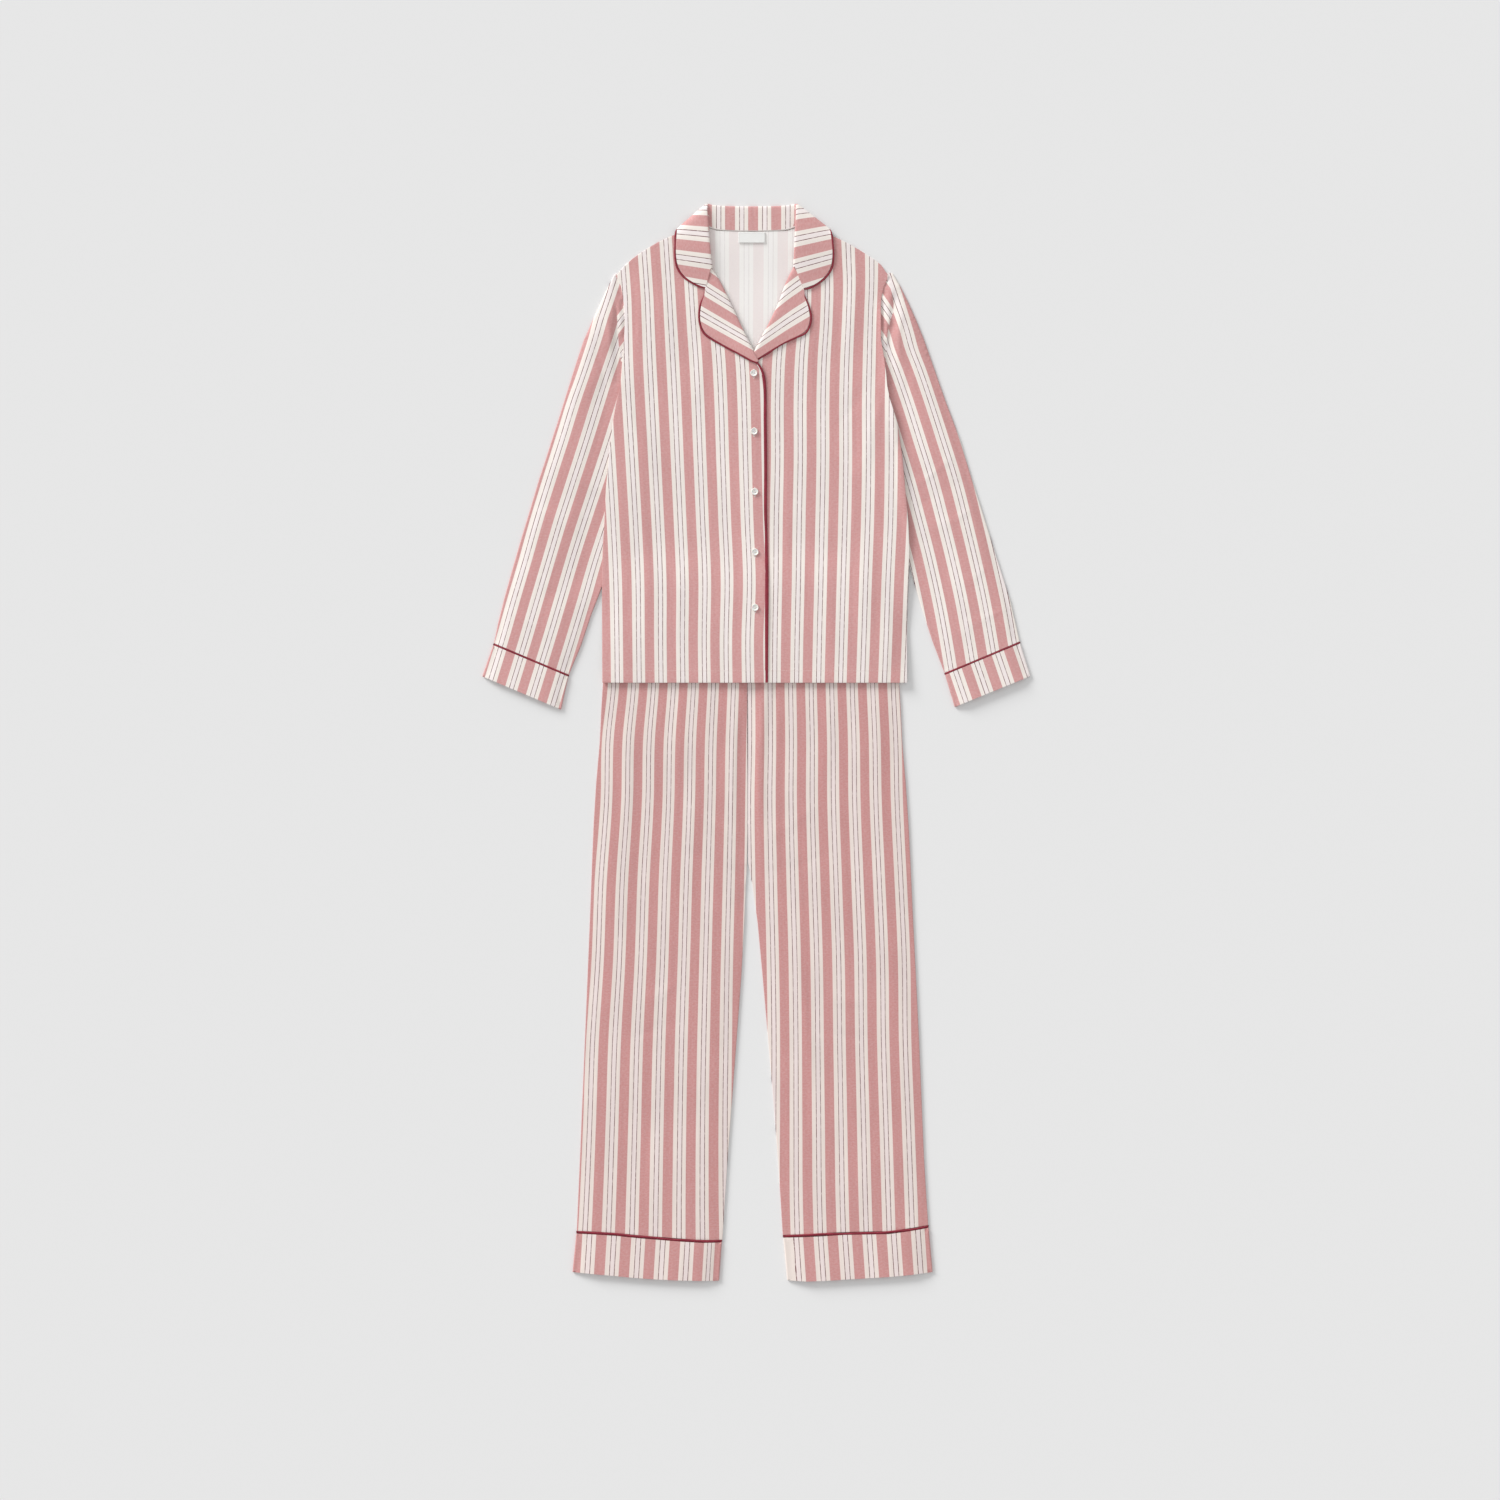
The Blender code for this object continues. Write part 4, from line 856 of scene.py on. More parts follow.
def separate(place):
    return add_node(place.id_data, "SeparateXYZ", {0: place}).outputs


def colour(values):
    return (*values, 1.0)


REPEAT = 0.0336  # metres in one repeat of the stripe
PINK_HALF = 0.215  # half the pink stripe's width, in repeats
PINK_MIDDLE = 0.01
LINES = (0.42, 0.615)  # places of the two fine lines
LINE_HALF = 0.0137
EDGE = 0.007
WARP = 0.00042  # metres from yarn to yarn
WEFT = 0.00050


def stripe_group():
    """Striped yarn-dyed cotton from its UV map: colour, roughness and height of the weave."""
    dyes = {"Pink": "Color", "Ecru": "Color", "White": "Color", "Line": "Color"}
    group, given, made = new_group("Striped cotton", {"Place": "Vector", **dyes, "Fade": "Float"})
    across, along, _ = separate(given["Place"])
    metres = times(across, REPEAT)
    cloth = combine(metres, along)

    def grain(first, x, y, detail, rough):
        return noise(combine(times(first, x), times(along, y)), 1.0, detail, rough)

    # Yarns wander a little, so an edge is never ruled
    wander = noise(combine(times(across, 2.0), along), 9.0)
    strayed = maths("MULTIPLY_ADD", maths("SUBTRACT", wander, 0.5), 0.012, across)
    pink_share = band(maths("FRACT", maths("ADD", strayed, 0.5 - PINK_MIDDLE)), 0.5, PINK_HALF, EDGE)
    turn = maths("FRACT", strayed)
    between = band(turn, sum(LINES) / 2, (LINES[1] - LINES[0]) / 2, EDGE)
    lines = maths("ADD", *(band(turn, place, LINE_HALF, EDGE / 2) for place in LINES))
    # Short uneven lengths of dark yarn, and light slubs that lie across the pink
    line_share = times(lines, soft_step(grain(across, 5.0, 110.0, 3.0, 0.7), 0.3, 0.56, 0.48, 1.0))
    slubs = soft_step(grain(metres, 190.0, 1000.0, 2.0, 0.6), 0.52, 0.74)
    heather = soft_step(grain(metres, 260.0, 420.0, 3.0, 0.65), 0.3, 0.7, -0.5, 0.5)
    shade = soft_step(grain(metres, 240.0, 7.0, 3.0, 0.6), 0.25, 0.75, 0.955, 1.035)
    cloud = soft_step(noise(cloth, 14.0), 0.3, 0.7, -0.02, 0.02)
    lined = blend(line_share, blend(between, given["Ecru"], given["White"]), given["Line"])
    paler = maths("MULTIPLY_ADD", heather, 0.16, maths("MULTIPLY_ADD", slubs, 0.1, 0.06), clamp=True)
    striped = blend(pink_share, lined, blend(paler, given["Pink"], given["White"]))
    tone = maths("ADD", shade, cloud)
    toned = add_node(group, "VectorMath", {0: striped, "Scale": tone}, operation="SCALE").outputs[0]
    faded = blend(given["Fade"], toned, colour((0.90, 0.885, 0.865)))
    # Plain weave: warp and weft yarns rise in turn
    warp = maths("SINE", times(metres, 2 * math.pi / WARP))
    weft = maths("SINE", times(along, 2 * math.pi / WEFT))
    nap = noise(cloth, 900.0, 3.0, 0.7)
    height = maths("MULTIPLY_ADD", times(warp, weft), 0.25, times(nap, 0.7))
    height = maths("MULTIPLY_ADD", slubs, 0.5, height)
    wire(made, {"Colour": faded, "Roughness": maths("MULTIPLY_ADD", nap, 0.12, 0.74), "Height": height})
    return group


def new_material(name, looks):
    """A material and its shader, with some of that shader's inputs."""
    material = bpy.data.materials.new(name)
    material.use_nodes = True
    shader = material.node_tree.nodes["Principled BSDF"]
    wire(shader, looks)
    return material, shader


def dress(shader, base, rough, height, **bumps):
    """Gives a shader its colour, its roughness and its bumps."""
    bump = add_node(shader.id_data, "Bump", {"Height": height, **bumps})
    wire(shader, {"Base Color": base, "Roughness": rough, "Normal": bump.outputs[0]})


def striped_cloth(name, group, settings, fade, tint):
    looks = {"Sheen Weight": 0.12, "Sheen Roughness": 0.5, "Specular IOR Level": 0.25}
    material, shader = new_material(name, looks)
    values = {"Place": add_node(shader.id_data, "UVMap", {}, uv_map="stripes").outputs[0], "Fade": fade}
    for dye in ("pink", "ecru", "white", "line"):
        values[dye.title()] = colour(part * share for part, share in zip(getattr(settings, dye), tint))
    cloth = add_node(shader.id_data, "Group", values, node_tree=group)
    dress(shader, *cloth.outputs, Distance=0.00012, Strength=0.6)
    return material


def yarn_group():
    """Fine twill on Object coordinates, with a wandering tone of wear and rib crests painted lighter as a
    painted sheen: colour, roughness and height.
    """
    kinds = {"Place": "Vector", "Colour": "Color", "Worn and sheen": "Color", "Rib": "Float"}
    group, given, made = new_group("Fine twill", kinds)
    x, y, z = separate(given["Place"])
    slant = maths("ADD", maths("ADD", x, y), times(z, 1.4))
    ribs = maths("SINE", maths("DIVIDE", times(slant, 2 * math.pi), given["Rib"]))
    fuzz = noise(given["Place"], 1400.0, 3.0, 0.7)
    tone = soft_step(noise(given["Place"], 90.0, 3.0, 0.6), 0.35, 0.75, 0.0, 0.5)
    # Random tone of wear, plus painted sheen: the rib crests are lighter
    share = maths("ADD", tone, soft_step(ribs, -0.2, 1.0, 0.0, 0.25))
    base = blend(share, given["Colour"], given["Worn and sheen"])
    rough = maths("MULTIPLY_ADD", fuzz, 0.2, 0.55)
    wire(made, {"Colour": base, "Roughness": rough, "Height": maths("MULTIPLY_ADD", ribs, 0.5, fuzz)})
    return group


def twill(name, group, base, worn_and_sheen, rib, distance=0.0001):
    material, shader = new_material(name, {"Sheen Weight": 0.1, "Specular IOR Level": 0.35})
    place = shader.id_data.nodes.new("ShaderNodeTexCoord").outputs["Object"]
    values = {"Place": place, "Colour": colour(base), "Worn and sheen": colour(worn_and_sheen), "Rib": rib}
    cloth = add_node(shader.id_data, "Group", values, node_tree=group)
    dress(shader, *cloth.outputs, Distance=distance, Strength=0.7)
    return material


def resin():
    """Pearly white button resin with faint clouds and turning marks."""
    looks = {"Coat Weight": 0.4, "Coat Roughness": 0.12, "Subsurface Weight": 0.1, "Subsurface Scale": 0.002}
    material, shader = new_material("Button resin", looks)
    place = shader.id_data.nodes.new("ShaderNodeTexCoord").outputs["Object"]
    cloud, fine = noise(place, 260.0, 3.0, 0.6), noise(place, 2500.0)
    tint = blend(soft_step(cloud, 0.3, 0.7), colour((0.86, 0.85, 0.82)), colour((0.80, 0.78, 0.74)))
    dress(shader, tint, soft_step(fine, 0.2, 0.8, 0.18, 0.34), fine, Distance=0.00002)
    return material


MADE = {}


def materials():
    """The set's materials, made once."""
    if not MADE:
        settings = bpy.context.scene.pyjama_cloth
        stripes, yarn = stripe_group(), yarn_group()
        # The trousers' cotton is a darker copy of the jacket's: its own tone and painted shade
        cottons = (("", "Striped cotton", (1, 1, 1)), ("trouser ", "Trouser cotton, darker tone and painted shade", settings.trouser_tone_and_shade))
        for key, name, tint in cottons:
            MADE[key + "right"] = striped_cloth(name, stripes, settings, 0.0, tint)
            MADE[key + "wrong"] = striped_cloth(name + ", wrong side", stripes, settings, 0.8, tint)
        # A lighter burgundy for wear and for the painted sheen on the ribs
        worn_and_sheen = tuple(min(1.0, part * 1.6 + 0.01) for part in settings.piping)
        for key, name, *looks in (
            ("piping", "Burgundy piping", settings.piping, worn_and_sheen, 0.0007),
            ("thread", "Sewing thread", (0.74, 0.62, 0.58), (0.82, 0.74, 0.70), 0.0002),
            ("white_thread", "White thread", (0.84, 0.82, 0.79), (0.88, 0.87, 0.85), 0.0002),
            ("tape", "Cotton tape", (0.80, 0.73, 0.70), (0.86, 0.82, 0.79), 0.0005),
            ("label", "Woven label", (0.83, 0.83, 0.81), (0.88, 0.88, 0.86), 0.0004, 0.00004),
        ):
            MADE[key] = twill(name, yarn, *looks)
        MADE["resin"] = resin()
    return MADE


def cloth_sides(node):
    """The materials of the right and wrong side of a piece's cloth."""
    trousers = any(part in node for part in ("trouser", "leg", "waistband"))
    return ["trouser " * trousers + side for side in ("right", "wrong")]


# Pieces


def make_panel(node, rows, inside_up=False, hem=False):
    settings = bpy.context.scene.pyjama_cloth
    bm = lay_panel(node, settings.hidden_square if inside_up else settings.square, hem)
    sides = cloth_sides(node)[::-1] if inside_up else cloth_sides(node)
    made = finish(bm, "cloth_" + node, sides, [node])
    add_stripes(made.data, down_rows(rows))


def make_tube(node, place, square, zones=(), lined=True, ripple=None):
    bm = lay_tube(node, square, ripple)
    for face in bm.faces:
        face.material_index = 0
    made = finish(bm, "cloth_" + node, cloth_sides(node), [node])
    add_stripes(made.data, place, *zones)
    walled = made.modifiers.new("Wall", "SOLIDIFY")
    walled.thickness = (CUFF_WALL if lined else SLEEVE_WALL) * MM
    walled.offset = -1
    walled.material_offset = walled.material_offset_rim = 0 if lined else 1


def make_turned(node, place, *zones):
    """A piece of double cloth on its CAD form, with soft edges."""
    bm = merged(node)
    at = np.array([vert.co[:2] for vert in bm.verts]).T / MM
    for vert, dx, dy in zip(bm.verts, *pulled(node, *at)):
        vert.co += (Vector((dx, dy, 0)) + vert.normal * Vector((1, 1, 0)) * FULL_EDGE) * MM
    angles = {"angle_face_threshold": math.radians(30), "angle_shape_threshold": math.radians(75)}
    compared = {"cmp_" + kind: False for kind in ("seam", "sharp", "uvs", "vcols", "materials")}
    bmesh.ops.join_triangles(bm, faces=bm.faces[:], **angles, **compared)
    rim = [edge for edge in bm.edges if edge.calc_face_angle(0) > math.radians(60)]
    form = {"offset_type": "OFFSET", "segments": 2, "profile": 0.5, "affect": "EDGES", "material": -1}
    bmesh.ops.bevel(bm, geom=rim, offset=SOFT_EDGE * MM, clamp_overlap=True, **form)
    made = finish(bm, "cloth_" + node, cloth_sides(node)[:1], [node])
    add_stripes(made.data, place, *zones)
    rounded = made.modifiers.new("Soft", "SUBSURF")
    rounded.levels = rounded.render_levels = 2


class PYJAMA_OT_trousers(bpy.types.Operator):
    """Lay the trousers' backs, fronts and elastic waistband"""

    bl_idname = "pyjama.trousers"
    bl_label = "Trousers"

    def execute(self, context):
        for side, rows in (("right", TROUSER_RIGHT_ROWS), ("left", TROUSER_LEFT_ROWS)):
            make_panel("trouser_back_" + side, rows, inside_up=True)
            make_panel("trouser_front_" + side, rows)

        def gathers(x, y):
            return GATHER * np.sin(2 * math.pi * (x + 1.5 * np.sin(y / 7)) / GATHER_PITCH)

        make_tube("waistband", down_rows(WAIST_ROWS), SMALL_SQUARE, ripple=gathers)
        return {"FINISHED"}


class PYJAMA_OT_sleeves(bpy.types.Operator):
    """Lay the two sleeves, each a flat tube open at the armhole and the cuff"""

    bl_idname = "pyjama.sleeves"
    bl_label = "Sleeves"

    def execute(self, context):
        for node, rows in (("sleeve_right", SLEEVE_RIGHT_ROWS), ("sleeve_left", SLEEVE_LEFT_ROWS)):
            make_tube(node, down_rows(rows), SLEEVE_SQUARE, [cap_zone(*CAPS[node])], lined=False)
        return {"FINISHED"}


def cap_zone(crease, seam_x, stripe_y, lean, repeat):
    """The sleeve's cap between the armhole seam and the crease beside it, where the stripes lie slanted."""
    crease_x, crease_y = np.array(crease).T
    side = np.sign(crease_x[0])

    def inside(x, y):
        beside = side * x < side * np.interp(y, crease_y[::-1], crease_x[::-1])
        return beside & (y < crease_y[0]) & (y > crease_y[-1])

    def place(x, y):
        return (x - seam_x - lean * (stripe_y - y)) / repeat, y

    return inside, place


class PYJAMA_OT_jacket_body(bpy.types.Operator):
    """Lay the jacket's back and its two fronts"""

    bl_idname = "pyjama.jacket_body"
    bl_label = "Jacket body"

    def execute(self, context):
        make_panel("jacket_back", BACK_ROWS, inside_up=True)
        for side, rows in (("left", FRONT_LEFT_ROWS), ("right", FRONT_RIGHT_ROWS)):
            make_panel("jacket_front_" + side, rows, hem=True)
        return {"FINISHED"}


class PYJAMA_OT_cuffs(bpy.types.Operator):
    """Lay the cuffs of the sleeves and legs"""

    bl_idname = "pyjama.cuffs"
    bl_label = "Cuffs"

    def execute(self, context):
        for node, rows in CUFF_ROWS.items():
            make_tube(node, cuff_rows(*rows), CUFF_SQUARE)
        return {"FINISHED"}


class PYJAMA_OT_collar(bpy.types.Operator):
    """Fold the collar over and turn the lapels back"""

    bl_idname = "pyjama.collar"
    bl_label = "Collar and lapels"

    def execute(self, context):
        right_fold, left_fold = (np.array(line).T[::-1] for line in COLLAR_FOLDS)
        make_turned(
            "collar",
            down_rows(STAND_ROWS),
            (lambda x, y: x < np.interp(y, *right_fold), across_rows(COLLAR_RIGHT_ROWS)),
            (lambda x, y: x > np.interp(y, *left_fold), across_rows(COLLAR_LEFT_ROWS)),
        )
        make_turned("facing_right", across_rows(LAPEL_RIGHT_ROWS))
        make_turned("facing_left", across_rows(LAPEL_LEFT_ROWS))
        bm = bmesh.new()
        sweep(bm, smooth_line(NECK_TAPE, 3.0), *NECK_TAPE_SIZE)
        finish(bm, "neck_tape", ["tape"], [])
        return {"FINISHED"}


def round_line(node, radius):
    """The closed line of a cord round a cuff, over its top at the CAD band's height and back on the table,
    and the direction along the cuff.
    """
    bm = merged(node)
    tree = BVHTree.FromBMesh(bm)
    points = np.array([vert.co[:2] for vert in bm.verts]) / MM
    bm.free()
    middle = points.mean(axis=0)
    run = np.linalg.svd(points - middle)[2][0]
    square = np.array((-run[1], run[0]))
    shares = (points - middle) @ run
    bow = np.polyfit(shares, (points - middle) @ square, 3)

    def at(share):
        return middle + run * share + square * np.polyval(bow, share)

    places = np.linspace(shares.min() + radius, shares.max() - radius, 60)
    over = np.array([(*at(share), height_on(tree, *at(share)) - radius) for share in places])
    low, high = (over[[0, -1], 2] - radius) / 2
    first, last = places[0] + low, places[-1] - high
    turns = np.radians((60, 30, 0, -30, -60))
    line = list(over[(places > first) & (places <= last)])
    line += [(*at(last + high * math.cos(turn)), radius + high * (1 + math.sin(turn))) for turn in turns]
    line += [(*at(share), radius) for share in np.linspace(last, first, 30)]
    line += [(*at(first - low * math.cos(turn)), radius + low * (1 + math.sin(turn))) for turn in -turns]
    return np.array(line), square


class PYJAMA_OT_piping(bpy.types.Operator):
    """Cord the edges of collar, lapels, placket and cuffs in burgundy"""

    bl_idname = "pyjama.piping"
    bl_label = "Piping"

    def execute(self, context):
        width = context.scene.pyjama_trim.piping_width / MM
        for node, (before, after) in CORD_ENDS.items():
            bm = bmesh.new()
            line = smooth_line([*before, *cord_line(node), *after], CORD_PITCH)
            # Below the placket's top the cord is drawn wider and further in: burgundy painted where its
            # shadow falls
            shadow_widening = PLACKET_SHADOW_WIDENING if node == "piping_front_right" else 1
            wide = width * (1 + (shadow_widening - 1) * step(-line[:, 1], -PLACKET_TOP - 10, -PLACKET_TOP + 30))
            line[:, 0] -= (wide - width) * PLACKET_SHADOW_LEAN
            sweep(bm, line, wide, width * 0.75)
            finish(bm, "cord_" + node, ["piping"], [node])
        bm = bmesh.new()
        line = smooth_line(cord_line("piping_front_right"), CORD_PITCH)
        ahead = unit(np.gradient(line[:, :2], axis=0))
        line[:, :2] += np.stack([ahead[:, 1], -ahead[:, 0]], axis=1) * EDGE_APART
        sweep(bm, line[line[:, 1] < PLACKET_TOP], *PLACKET_EDGE_SIZE)
        finish(bm, "placket_edge", ["tape"], [])
        for node in CUFF_CORDS:
            bm = bmesh.new()
            line, square = round_line(node, CUFF_CORD / 2)
            aside = np.array((*square, 0))
            if "leg" in node:
                down = aside if aside[1] < 0 else -aside
                line = line - down * LEG_CORD_DOWN + np.outer(LEG_CORD_WAVE * np.sin(line[:, 0] / 9), aside)
                sweep(bm, line, CUFF_CORD, CUFF_CORD, aside=aside, closed=True)
                beside = line + down * LEG_CORD_APART - (0, 0, 0.3)
                sweep(bm, beside, CUFF_CORD * 0.5, CUFF_CORD * 0.7, aside=aside, closed=True)
            else:
                sweep(bm, line, CUFF_CORD * 1.15, CUFF_CORD, aside=aside, closed=True)
            finish(bm, "cord_" + node, ["piping"], [node])
        return {"FINISHED"}


BUTTON_PROFILE = (
    (4.3, 0), (4.85, 0.12), (5.15, 0.42), (5.25, 0.85), (5.25, 1.4), (5.14, 1.8), (4.9, 2.08), (4.55, 2.2),
    (4.2, 2.16), (3.85, 1.98), (3.5, 1.7), (3.15, 1.5), (2.7, 1.41),
)
HOLE_OUT = 1.5
HOLE_RADIUS = 0.62
BUTTONS = range(1, 6)
BUTTON_TURN = 0.4


def button_mesh():
    """One turned button with four holes drilled through it, about its own middle."""
    bm = bmesh.new()
    verts = [bm.verts.new((radius * MM, 0, z * MM)) for radius, z in BUTTON_PROFILE]
    edges = [bm.edges.new(pair) for pair in zip(verts, verts[1:])]
    round_up = {"cent": (0, 0, 0), "axis": UP, "angle": 2 * math.pi, "steps": 48}
    bmesh.ops.spin(bm, geom=verts + edges, use_merge=True, **round_up)
    bmesh.ops.remove_doubles(bm, verts=bm.verts[:], dist=MERGE)
    bmesh.ops.holes_fill(bm, edges=[edge for edge in bm.edges if edge.is_boundary], sides=0)
    bmesh.ops.recalc_face_normals(bm, faces=bm.faces[:])
    drills = bmesh.new()
    drill = {"segments": 16, "radius1": HOLE_RADIUS * MM, "radius2": HOLE_RADIUS * MM, "depth": 6 * MM}
    for turn in (math.pi / 4 + k * math.pi / 2 for k in range(4)):
        out = Matrix.Translation((HOLE_OUT * MM * math.cos(turn), HOLE_OUT * MM * math.sin(turn), MM))
        bmesh.ops.create_cone(drills, cap_ends=True, matrix=out, **drill)
    body = new_object("button blank", mesh_of(bm, "button blank"))
    cutter = new_object("drills", mesh_of(drills, "drills"))
    cut = body.modifiers.new("Holes", "BOOLEAN")
    cut.operation, cut.solver, cut.object = "DIFFERENCE", "EXACT", cutter
    drilled = bpy.data.meshes.new_from_object(body.evaluated_get(bpy.context.evaluated_depsgraph_get()))
    for made in (body, cutter):
        bpy.data.objects.remove(made)
    return drilled


def node_middle(node):
    """Middle of a CAD piece in plan, and its lowest height, in mm."""
    low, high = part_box(node)
    return (low[0] + high[0]) / 2 / MM, (low[1] + high[1]) / 2 / MM, low[2] / MM


def plan_box(node, inside):
    """Left, bottom, right and top of a CAD piece in mm, so far inside its edges."""
    low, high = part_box(node)
    return [value / MM + inside for value in low[:2]] + [value / MM - inside for value in high[:2]]


class PYJAMA_OT_buttons(bpy.types.Operator):
    """Turn the five buttons and sew them on"""

    bl_idname = "pyjama.buttons"
    bl_label = "Buttons"

    def execute(self, context):
        drilled = button_mesh()
        sewn = bmesh.new()
        thread = context.scene.pyjama_trim.thread / MM
        for k in BUTTONS:
            at, turned = node_middle(f"button_{k}"), BUTTON_TURN * k
            bm = bmesh.new()
            bm.from_mesh(drilled)
            bmesh.ops.rotate(bm, verts=bm.verts[:], cent=(0, 0, 0), matrix=Matrix.Rotation(turned, 3, "Z"))
            bmesh.ops.translate(bm, verts=bm.verts[:], vec=[part * MM for part in at])
            finish(bm, f"shirt_button_{k}", ["resin"], [f"button_{k}"], 30)
            for way in (-1, 1):
                for strand in (-0.2, 0.2):
                    self.sew(sewn, at, turned, way * HOLE_OUT * math.sqrt(0.5) + strand, thread)
        finish(sewn, "button_thread", ["white_thread"], [])
        return {"FINISHED"}

    def sew(self, bm, at, turned, y, thread):
        """One strand of thread from a hole over the button's face into the next."""
        face, out = BUTTON_PROFILE[-1][1], HOLE_OUT * math.sqrt(0.5)
        ahead = np.array((math.cos(turned), math.sin(turned), 0))
        aside = np.array((-math.sin(turned), math.cos(turned), 0))
        path = [(-1, 0.3), (-1, face - 0.1), (-0.72, face + 0.16), (0, face + 0.24)]
        path += [(-share, z) for share, z in path[-2::-1]]
        line = [at + ahead * out * share + aside * y + (0, 0, z) for share, z in path]
        sweep(bm, smooth_line(line, 0.3), thread, thread, sides=6, aside=aside)


class PYJAMA_OT_label(bpy.types.Operator):
    """Lay a bare woven label inside the back's neck"""

    bl_idname = "pyjama.label"
    bl_label = "Label"

    def execute(self, context):
        bm = lay_panel("neck_label", SMALL_SQUARE)
        finish(bm, "woven_label", ["label"], ["neck_label"])
        return {"FINISHED"}


class PYJAMA_OT_stitching(bpy.types.Operator):
    """Sew the jacket's hem, the buttonholes and the label"""

    bl_idname = "pyjama.stitching"
    bl_label = "Stitching"

    def execute(self, context):
        trim = context.scene.pyjama_trim
        pitch, thread = trim.stitch / MM, trim.thread / MM
        sewn = bmesh.new()
        y = HEM_Y + TURN_UP
        for side in ("right", "left"):
            front = tree_of("cloth_jacket_front_" + side)
            left, _, right, _ = plan_box("jacket_front_" + side, 2)
            stitch_row(sewn, front, ((left, y), (right, y)), pitch, thread)
        back = tree_of("cloth_jacket_back")
        stitch_row(sewn, back, ((-225, y), (225, y)), pitch, thread, down=False)
        finish(sewn, "seam_stitches", ["thread"], [])

        edged = bmesh.new()
        label = tree_of("woven_label")
        left, bottom, right, top = plan_box("neck_label", 1)
        corners = [(left, bottom), (right, bottom), (right, top), (left, top)]
        for ends in zip(corners, corners[1:] + corners[:1]):
            stitch_row(edged, label, ends, LABEL_STITCH, thread * 0.8, sink=0.05)
        finish(edged, "label_stitches", ["white_thread"], [])

        holes = bmesh.new()
        front = tree_of("cloth_jacket_front_right")
        for k in BUTTONS:
            x, y, _ = node_middle(f"button_{k}")
            line = []
            for turn in np.linspace(0, 2 * math.pi, 40, endpoint=False):
                at_x = x + BUTTONHOLE[0] / 2 * math.cos(turn)
                out = np.sign(math.sin(turn)) * abs(math.sin(turn)) ** 0.6
                at_y = y + BUTTONHOLE_DROP + BUTTONHOLE[1] / 2 * out
                line.append((at_x, at_y, (height_on(front, at_x, at_y) or 0) + 0.05))
            sweep(holes, line, 1.0, 0.4, sides=6, closed=True)
        finish(holes, "buttonholes", ["thread"], [])
        return {"FINISHED"}


# Each cloth, {} being its side: width and length of its cut in metres, what it lies on and what is sewn to it
SHEETS = (
    ("cloth_trouser_back_{}", (0.30, 0.96), ("floor",), ()),
    ("cloth_trouser_front_{}", (0.29, 0.96), ("cloth_trouser_back_{}",), ()),
    ("cloth_waistband", (0.80, 0.04), ("floor",), ()),
    ("cloth_leg_cuff_{}", (0.45, 0.07), ("floor",), ("cord_piping_leg_cuff_{}",)),
    ("cloth_sleeve_{}", (0.42, 0.62), ("floor",), ()),
    ("cloth_sleeve_cuff_{}", (0.26, 0.06), ("floor",), ("cord_piping_sleeve_{}",)),
    (
        "cloth_jacket_back", (0.47, 0.70),
        ("floor", "cloth_trouser_front_right", "cloth_trouser_front_left", "cloth_waistband"), (),
    ),
    ("cloth_jacket_front_left", (0.26, 0.70), ("cloth_jacket_back",), ()),
    (
        "cloth_jacket_front_right", (0.26, 0.70), ("cloth_jacket_back", "cloth_jacket_front_left"),
        ("cord_piping_front_right", "placket_edge", "seam_stitches", "buttonholes"),
    ),
    ("cloth_facing_right", (0.08, 0.14), ("cloth_jacket_front_right",), ()),
    ("cloth_facing_left", (0.08, 0.14), ("cloth_jacket_front_left",), ("cord_piping_front_left",)),
    (
        "cloth_collar", (0.50, 0.10), ("cloth_jacket_front_right", "cloth_jacket_front_left", "floor"),
        ("cord_piping_collar", "neck_tape"),
    ),
    ("woven_label", (0.041, 0.017), ("cloth_jacket_back",), ("label_stitches",)),
)


class PYJAMA_OT_declare(bpy.types.Operator):
    """Read each cloth's finished faces from the table of cuts; nothing is recorded from them"""

    bl_idname = "pyjama.declare"
    bl_label = "Cloth records"

    def execute(self, context):
        shapes = context.evaluated_depsgraph_get()
        for name, flat, under, sewn in SHEETS:
            for side in ("right", "left") if "{}" in name else ("",):
                made = bpy.data.objects[name.format(side)]
                faces = made.evaluated_get(shapes).data.polygons
        return {"FINISHED"}


FLOOR_REACH, FLOOR_DROP = 6.0, 0.0002  # metres
SKY_LIGHT, SUN_LIGHT, SUN_ANGLE = 0.68, 3.05, 22
SUN_WAY = (0.62, -0.66, -0.31)


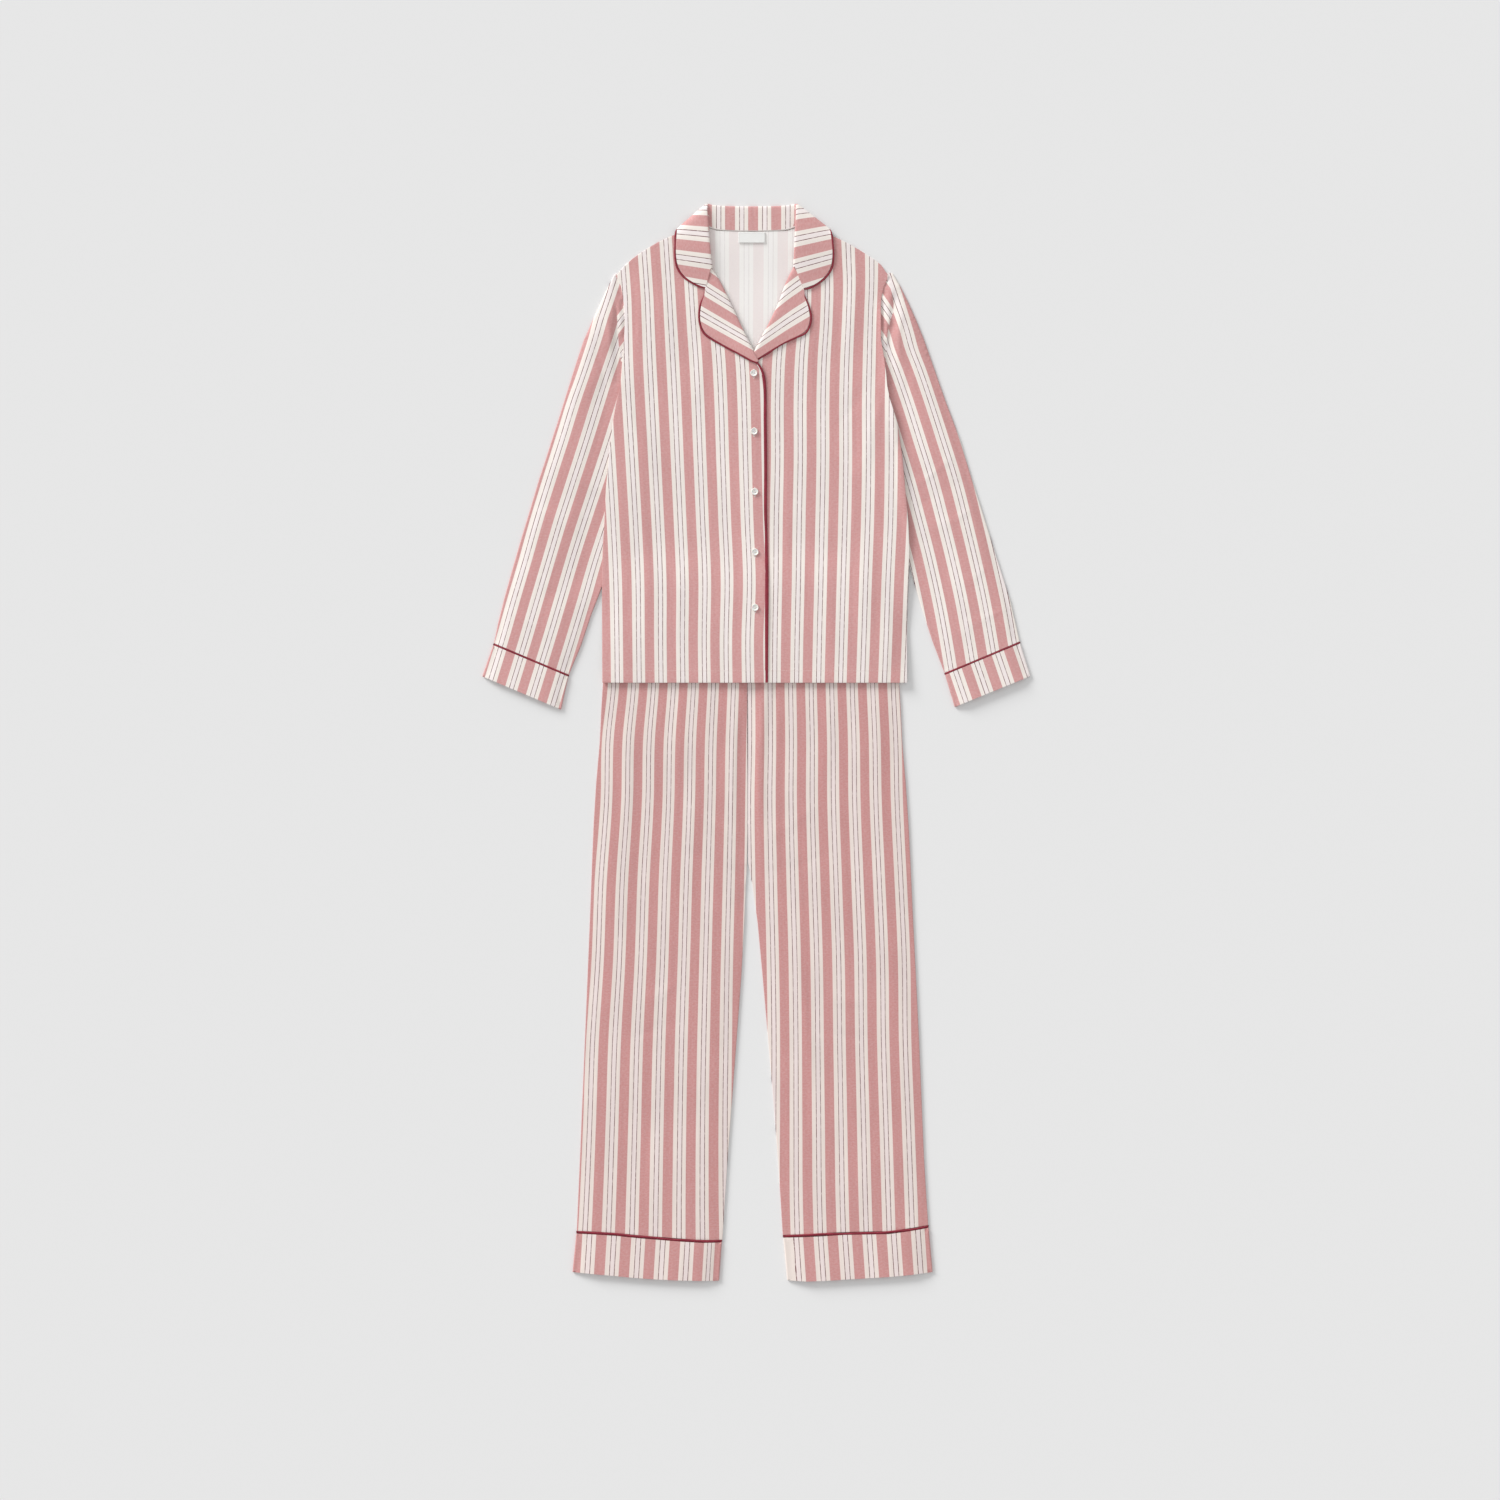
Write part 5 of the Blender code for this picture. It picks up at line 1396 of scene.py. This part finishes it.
class PYJAMA_OT_stage(bpy.types.Operator):
    """Lay the floor, light the set softly and look straight down on it"""

    bl_idname = "pyjama.stage"
    bl_label = "Stage"

    def execute(self, context):
        scene, settings = context.scene, context.scene.pyjama_stage
        bm = bmesh.new()
        bmesh.ops.create_grid(bm, x_segments=8, y_segments=8, size=FLOOR_REACH)
        bmesh.ops.translate(bm, verts=bm.verts[:], vec=UP * -FLOOR_DROP)
        floor = new_object("floor", mesh_of(bm, "floor"))
        looks = {"Base Color": colour([settings.grey] * 3), "Roughness": 0.9, "Specular IOR Level": 0.1}
        floor.data.materials.append(new_material("Pale paper", looks)[0])

        scene.world = bpy.data.worlds.new("Soft light")
        scene.world.use_nodes = True
        wire(scene.world.node_tree.nodes["Background"], {"Color": (1.0, 1.0, 1.0, 1), "Strength": SKY_LIGHT})
        lamp = bpy.data.lights.new("Window", "SUN")
        lamp.energy, lamp.angle = SUN_LIGHT, math.radians(SUN_ANGLE)
        sun = new_object("Window", lamp)
        sun.rotation_euler = Vector(SUN_WAY).to_track_quat("-Z", "Y").to_euler()

        scene.view_settings.view_transform = "Standard"
        lens = bpy.data.cameras.new("Camera")
        lens.sensor_width = 36.0
        lens.lens = lens.sensor_width * settings.height / settings.view
        lens.clip_end = 50
        scene.camera = new_object("Camera", lens)
        scene.camera.location = (*settings.centre, settings.height)
        return {"FINISHED"}


OPERATORS = (
    PYJAMA_OT_trousers,
    PYJAMA_OT_sleeves,
    PYJAMA_OT_jacket_body,
    PYJAMA_OT_cuffs,
    PYJAMA_OT_collar,
    PYJAMA_OT_piping,
    PYJAMA_OT_buttons,
    PYJAMA_OT_label,
    PYJAMA_OT_stitching,
    PYJAMA_OT_stage,
    PYJAMA_OT_declare,
)


class PYJAMA_PT_panel(bpy.types.Panel):
    bl_label = "Pyjama set"
    bl_space_type = "VIEW_3D"
    bl_region_type = "UI"
    bl_category = "Pyjamas"

    def draw(self, context):
        for group, settings in SETTINGS.items():
            for name in settings.__annotations__:
                self.layout.prop(getattr(context.scene, group), name)
        for operator in OPERATORS:
            self.layout.operator(operator.bl_idname)


CLASSES = (*SETTINGS.values(), *OPERATORS, PYJAMA_PT_panel)


def register():
    for made in CLASSES:
        bpy.utils.register_class(made)
    for name, group in SETTINGS.items():
        setattr(bpy.types.Scene, name, bpy.props.PointerProperty(type=group))


def unregister():
    for name in SETTINGS:
        delattr(bpy.types.Scene, name)
    for made in reversed(CLASSES):
        bpy.utils.unregister_class(made)


def main():
    register()
    for operator in OPERATORS:
        group, name = operator.bl_idname.split(".")
        getattr(getattr(bpy.ops, group), name)()


if __name__ == "__main__":
    main()
